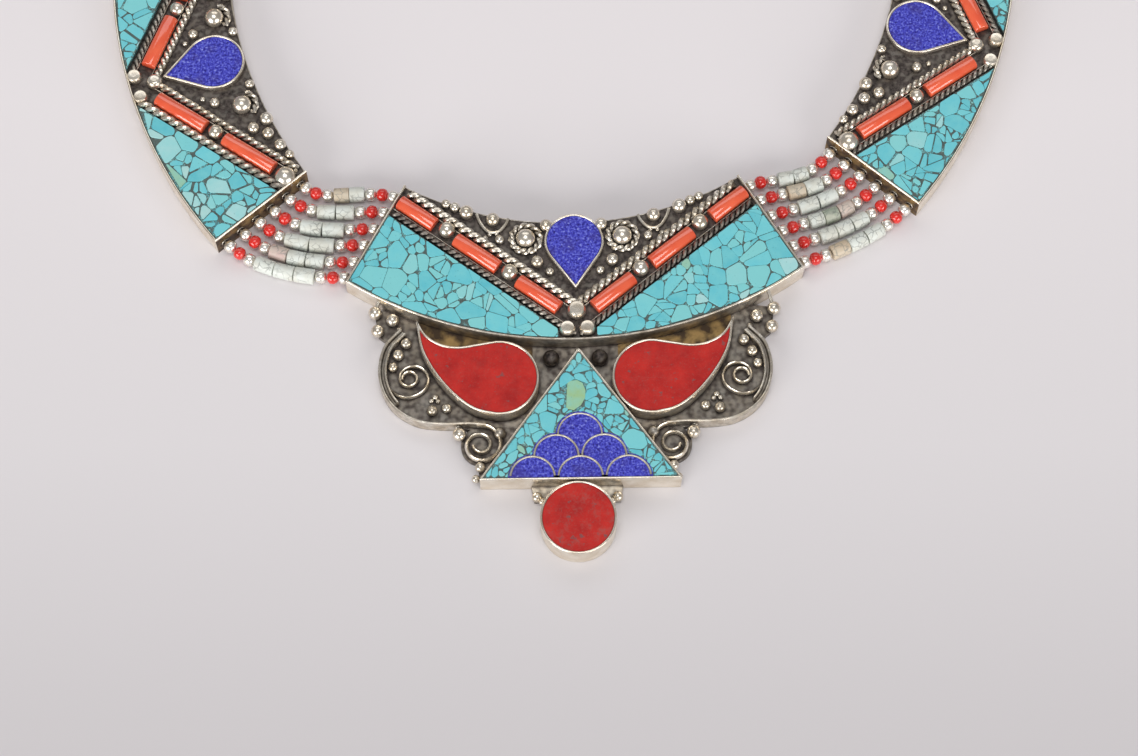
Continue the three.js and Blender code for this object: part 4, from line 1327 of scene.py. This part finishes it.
def pendant_stones():
    for side, label in ((-1, "left"), (1, "right")):
        red_inlay(f"paisley_coral_{label}", inset(paisley_outline(side), RIM + STONE_CLEAR), 0.25)
    # the disc's mark of 1 lays the painted glare of the red inlay all over it
    red_inlay("pendant_coral_disc", circle(DISC_CENTRE, DISC["radius"] - RIM - STONE_CLEAR), 1.0)
    scaled_field()
    shape = Shape(PENDANT_PLACE)
    base = PENDANT_BASE + RIM + STONE_CLEAR
    for row, middles in enumerate(scale_middles()):
        top = THICKNESS + 0.04 - (row + 1) * SCALE_STEP
        for middle in middles:
            outline = clip(circle(middle, SCALES["radius"] - 0.12), flat(0, base), flat(0, -1))
            slab(shape, outline, THICKNESS - 0.5, top)
    shape.make("pendant_lapis_scales", [LAPIS])


# The one large green chip of the pendant
GREEN_CHIP = [(-2.1, -43.0), (-0.5, -43.3), (1.0, -42.2), (1.9, -40.6), (2.0, -39.0), (1.4, -37.3),
              (0.2, -36.6), (-1.7, -36.9), (-1.9, -39.0)]
GREEN_ROOM = [(0.0, -38.6), (-0.2, -41.4)]


SCALE_CRUMBS = 0.6            # how far the lapis crumbs reach beyond a scale
SCALE_ROOM = 0.56             # how far the chips stay off it


def scaled_field():
    """Turquoise of the pendant, with lapis crumbs in the cement round the fish scales"""
    shape = Shape(PENDANT_PLACE)
    within = inset(triangle_outline(), RIM + 0.04)
    slab(shape, within, CEMENT_BOTTOM, CEMENT_TOP, kind=1)
    middles = [middle for row in scale_middles() for middle in row]
    foot = min(p.y for p in within)
    for middle in middles:
        crumbs = clip(circle(middle, SCALES["radius"] + SCALE_CRUMBS), flat(0, foot), flat(0, -1))
        slab(shape, crumbs, THICKNESS - 1.0, THICKNESS - 0.13, kind=2)
    holes = [(middle, SCALES["radius"] + SCALE_ROOM) for middle in middles]
    holes += [(flat(*spot), 2.0) for spot in GREEN_ROOM]
    chips(shape, inset_region(within, CHIPS_CLEAR), PENDANT_CHIPS, SEED + 40, holes)
    chip(shape, facing_up([flat(*p) for p in GREEN_CHIP]), 1.0, random.Random(SEED))
    shape.make("pendant_turquoise", [TURQUOISE, CEMENT, LAPIS], sharp=25)


# Strands
def strand_end(plate, lies, side, index):
    """Where a strand comes out of a plate, and the direction in which it does, on the table"""
    spot = strand_spot(plate, index)
    out = end_frame(plate)[2]
    x, y, turn = lies
    spin = Matrix.Rotation(math.radians(turn), 2)
    return spin @ flat(spot.x * side, spot.y) + flat(x, y), spin @ flat(out.x * side, out.y)


def strand_height(distance, settle):
    share = min(distance / settle, 1)
    eased = share * share * (3 - 2 * share)
    return HOLE_HEIGHT + (REST_HEIGHT - HOLE_HEIGHT) * eased


ROUTE_POINTS = 240


class Route:
    """The curve that a strand follows from one piece to another, by distance along it"""

    def __init__(self, start, end, start_lead, end_lead, settle):
        (p, out), (q, back) = start, end
        line = interpolate_bezier(p.to_3d(), (p + out * start_lead).to_3d(),
                                  (q + back * end_lead).to_3d(), q.to_3d(), ROUTE_POINTS)
        along = distances(line)
        self.points = [Vector((a.x, a.y, strand_height(min(d, along[-1] - d), settle)))
                       for a, d in zip(line, along)]
        self.marks = distances(self.points)
        self.length = self.marks[-1]

    def at(self, distance):
        return point_at(self.points, self.marks, min(max(distance, 0.0), self.length))


BEAD_SIDES = 14
ROUND_BEAD = [(0.0, 0.34), (0.04, 0.55), (0.14, 0.8), (0.3, 0.96), (0.5, 1.0), (0.7, 0.96),
              (0.86, 0.8), (0.96, 0.55), (1.0, 0.34)]
TUBE_BEAD = [(0.0, 0.45), (0.0, 0.9), (0.025, 0.98), (0.06, 1.0), (0.94, 1.0), (0.975, 0.98),
             (1.0, 0.9), (1.0, 0.45)]


def bead(shape, route, start, length, radius, kind, mark, draw):
    """A bead is straight: it lies along the chord of its stretch of the route"""
    a, b = route.at(start), route.at(start + length)
    along = (b - a).normalized()
    aside = Vector((0, 0, 1)).cross(along).normalized()
    above = along.cross(aside)
    lean = Vector((draw.uniform(-0.05, 0.05), draw.uniform(-0.05, 0.05), 0))
    swell = 1 + draw.uniform(-0.03, 0.03)
    turned = around(BEAD_SIDES, draw.uniform(0, 2 * math.pi))
    rings = []
    for share, size in TUBE_BEAD if kind == HOWLITE_SLOT else ROUND_BEAD:
        middle = a + along * (length * (0.02 + 0.96 * share)) + lean * min(1, length / 2)
        rings.append([middle + (aside * c + above * s) * (radius * swell * size) for c, s in turned])
    shape.loft(rings, mark, kind)


STRAND_MATERIALS = [HOWLITE, RED, SHINY, THREAD]
HOWLITE_SLOT, RED_SLOT, SHINY_SLOT, THREAD_SLOT = range(4)
THREAD_RADIUS = 0.3


def thread_beads(name, route, row, step, seed):
    """Beads on their thread; row holds the length, radius, material and mark of each"""
    draw = random.Random(seed)
    shape = Shape(WHOLE_PLACE)
    start = GAP
    for length, radius, kind, mark in row:
        bead(shape, route, start, length, radius, kind, mark, draw)
        start += length
    tube(shape, spaced(route.points, step), THREAD_RADIUS, 6, kind=THREAD_SLOT)
    shape.make(name, STRAND_MATERIALS)


def strand(name, route, tints, seed):
    silver = (SILVER_BEAD["length"], SILVER_BEAD["radius"], SHINY_SLOT, 0.0)
    red = (RED_BEAD["length"], RED_BEAD["radius"], RED_SLOT, 0.0)
    end = [silver, red, silver]
    fixed = 4 * SILVER_BEAD["length"] + 2 * RED_BEAD["length"]
    length = (route.length - 2 * GAP - fixed) / len(tints)
    tubes = [(length, HOWLITE_RADIUS, HOWLITE_SLOT, HOWLITE_TINTS[tint]) for tint in tints]
    thread_beads(name, route, end + tubes + end, 1.5, seed)


BACK_TUBE = 3.4
BACK_MARK = 0.1
BACK_SLIM = 0.98              # beads as a share of the strand that the source has there


def back_strand(name, route, seed):
    """The hidden stretch: the same beads over and over, up to the clasp"""
    silver = (SILVER_BEAD["length"], SILVER_BEAD["radius"], SHINY_SLOT)
    red = (RED_BEAD["length"], BACK["radius"], RED_SLOT)
    howlite = (BACK_TUBE, BACK["radius"], HOWLITE_SLOT)
    group = [silver, red, silver, howlite, howlite]
    length = route.length - 2 * GAP
    whole = sum(size for size, _, _ in group)
    count = round(length / whole)
    stretch = length / (count * whole)
    row = [(size * stretch, radius * BACK_SLIM, kind, BACK_MARK) for size, radius, kind in group]
    thread_beads(name, route, row * count, 2.0, seed)


def clasp_width():
    return (STRANDS - 1) * CLASP["pitch"] + 2 * CLASP["margin"]


def make_strands():
    for label, lies, side, routes in (("left", LEFT_LIES, -1, LEFT_ROUTES),
                                      ("right", RIGHT_LIES, 1, RIGHT_ROUTES)):
        for i, row in enumerate(routes):
            start = strand_end(SIDE, lies, -side, i)
            end = strand_end(CENTRE, CENTRE_LIES, side, i)
            span = (start[0] - end[0]).length
            route = Route(start, end, row["side_lead"], row["centre_lead"], span / 3)
            strand(f"{label}_strand_{i + 1}", route, row["tints"], SEED + 100 + i * 2 + side)
            start = strand_end(SIDE, lies, side, i)
            across = CLASP["y"] - clasp_width() / 2 + CLASP["margin"] + i * CLASP["pitch"]
            end = (flat(CLASP["x"] + side * CLASP["length"] / 2, across), flat(side, 0))
            grow = 1 + i * CLASP["pitch"] / BACK["side_lead"] / 2
            route = Route(start, end, BACK["side_lead"] * grow, BACK["clasp_lead"] * grow,
                          BACK["settle"])
            back_strand(f"{label}_back_strand_{i + 1}", route, SEED + 200 + i * 2 + side)


CLASP_BEVEL = 0.5
CLASP_MARK = 0.15


def make_clasp():
    half = flat(CLASP["length"] / 2, clasp_width() / 2)
    loop = [flat(half.x, half.y), flat(-half.x, half.y), flat(-half.x, -half.y), flat(half.x, -half.y)]
    middle = flat(CLASP["x"], CLASP["y"])
    outline = facing_up([p + middle for p in rounded_corners(loop, CLASP["corner"], 8)])
    steps = offsets(outline)
    shares = (1.0, 0.6, 0.25, 0.0)
    levels = [(share, 0.0, 1) for share in shares]
    levels += [(share, 2 * HOLE_HEIGHT, -1) for share in reversed(shares)]
    rings = []
    for share, height, way in levels:
        drop = CLASP_BEVEL * (1 - math.sqrt(1 - share * share))
        rings.append(lifted([p + s * CLASP_BEVEL * share for p, s in zip(outline, steps)],
                            height + way * drop))
    shape = Shape(WHOLE_PLACE)
    shape.loft(rings, CLASP_MARK)
    shape.make("clasp_bar", [SILVER], ["clasp"])


# The plates' silver
def make_bodies():
    centre = Shape(CENTRE_PLACE)
    plate_body(centre, CENTRE, CENTRE_BALLS, (CENTRE_ROPES, CENTRE_ROPES))
    trim(centre, 10.3, -3.65, CENTRE_TURN, CENTRE_APEX, closed=True)
    wire_loops(centre)
    centre.place = PENDANT_PLACE
    pendant_silver(centre)
    centre.make("centre_silver", [SILVER, STAINED], ["centre_body"])
    sides = (("left", LEFT, LEFT_PLACE, (SIDE_ROPES, LEFT_LOWER_ROPES)),
             ("right", RIGHT, RIGHT_PLACE, (SIDE_ROPES, SIDE_ROPES)))
    for label, plate, place, rope_tables in sides:
        body = Shape(place)
        plate_body(body, plate, SIDE_BALLS, rope_tables)
        trim(body, 11.4, -3.8, SIDE_TURN, SIDE_APEX)
        body.make(f"{label}_silver", [SILVER, STAINED], [f"{label}_body"])


# Studio
CAMERA = {"distance": 520.0, "elevation": 68.0, "lens": 79.0, "aim": Vector((0, 0, 5))}


def look_from(obj, place, aim):
    obj.location = place * MM
    obj.rotation_euler = (aim - place).to_track_quat("-Z", "Y").to_euler()


def make_camera():
    data = bpy.data.cameras.new("camera")
    data.lens = CAMERA["lens"]
    data.sensor_width = 36.0
    camera = add_object("camera", data)
    aim = OFFSET + CAMERA["aim"]
    rise = math.radians(CAMERA["elevation"])
    look_from(camera, aim + CAMERA["distance"] * Vector((0, -math.cos(rise), math.sin(rise))), aim)
    bpy.context.scene.camera = camera


WHITE = (1.0, 1.0, 1.0)
WARM = (1.0, 0.985, 0.97)
# Name, place, width and height, power in watts and colour
LIGHTS = [
    ("front_left", (-1400, -1700, 700), (1600, 1100), 34, WARM),
    ("front_right", (1400, -1700, 700), (1600, 1100), 25, WARM),
    ("back", (0, 900, 900), (1400, 600), 3.2, WHITE),
    ("above", (0, -150, 1200), (700, 500), 3.8, WHITE),
]
LIGHTS_AIM = Vector((0, 20, 0))
WORLD = {"colour": (0.8, 0.79, 0.8, 1.0), "strength": 0.35}


def make_light(name, place, size, power, colour):
    data = bpy.data.lights.new(name, "AREA")
    data.shape = "RECTANGLE"
    data.size, data.size_y = (side * MM for side in size)
    data.energy = power
    data.color = colour
    look_from(add_object(name, data), OFFSET + Vector(place), OFFSET + LIGHTS_AIM)


# The table's colour is painted darker towards the front: a painted shade where the light falls off
TABLE_PAINTED_SHADE_REACH = (-155.0, 0.0)
TABLE_PAINTED_SHADE_TONES = [(0.0, rgb(209, 205, 207)), (0.09, rgb(212, 208, 210)), (0.43, rgb(226, 222, 224)),
               (0.95, rgb(236, 231, 233))]
TABLE_HALF = 1500.0
TABLE_DOWN = 0.02             # the table lies this far below the necklace's underside


def make_table():
    graph = Graph("table", Roughness=0.75)
    depth = graph.add("ShaderNodeSeparateXYZ", Vector=graph.place).outputs["Y"]
    near, far = (y * MM for y in TABLE_PAINTED_SHADE_REACH)
    # painted shade: the colour darkens towards the front
    graph.colour(graph.ramp(graph.span(depth, near, far), TABLE_PAINTED_SHADE_TONES))
    mesh = bpy.data.meshes.new("table_top")
    half = TABLE_HALF
    corners = [(-half, -half), (half, -half), (half, half), (-half, half)]
    mesh.from_pydata([Vector((x, y, -TABLE_DOWN)) * MM for x, y in corners], [], [(0, 1, 2, 3)])
    mesh.materials.append(graph.material)
    table = add_object("table_top", mesh)


def make_studio():
    make_table()
    for light in LIGHTS:
        make_light(*light)
    world = bpy.data.worlds.new("studio")
    world.use_nodes = True
    back = world.node_tree.nodes["Background"]
    back.inputs["Color"].default_value = WORLD["colour"]
    back.inputs["Strength"].default_value = WORLD["strength"]
    bpy.context.scene.world = world
    bpy.context.scene.view_settings.view_transform = "Standard"


make_camera()
make_bodies()
plate_stones("centre", CENTRE, CENTRE_PLACE, CENTRE_CHIPS, SEED)
plate_stones("left", LEFT, LEFT_PLACE, LEFT_CHIPS, SEED + 10)
plate_stones("right", RIGHT, RIGHT_PLACE, RIGHT_CHIPS, SEED + 20)
pendant_stones()
make_strands()
make_clasp()
make_studio()
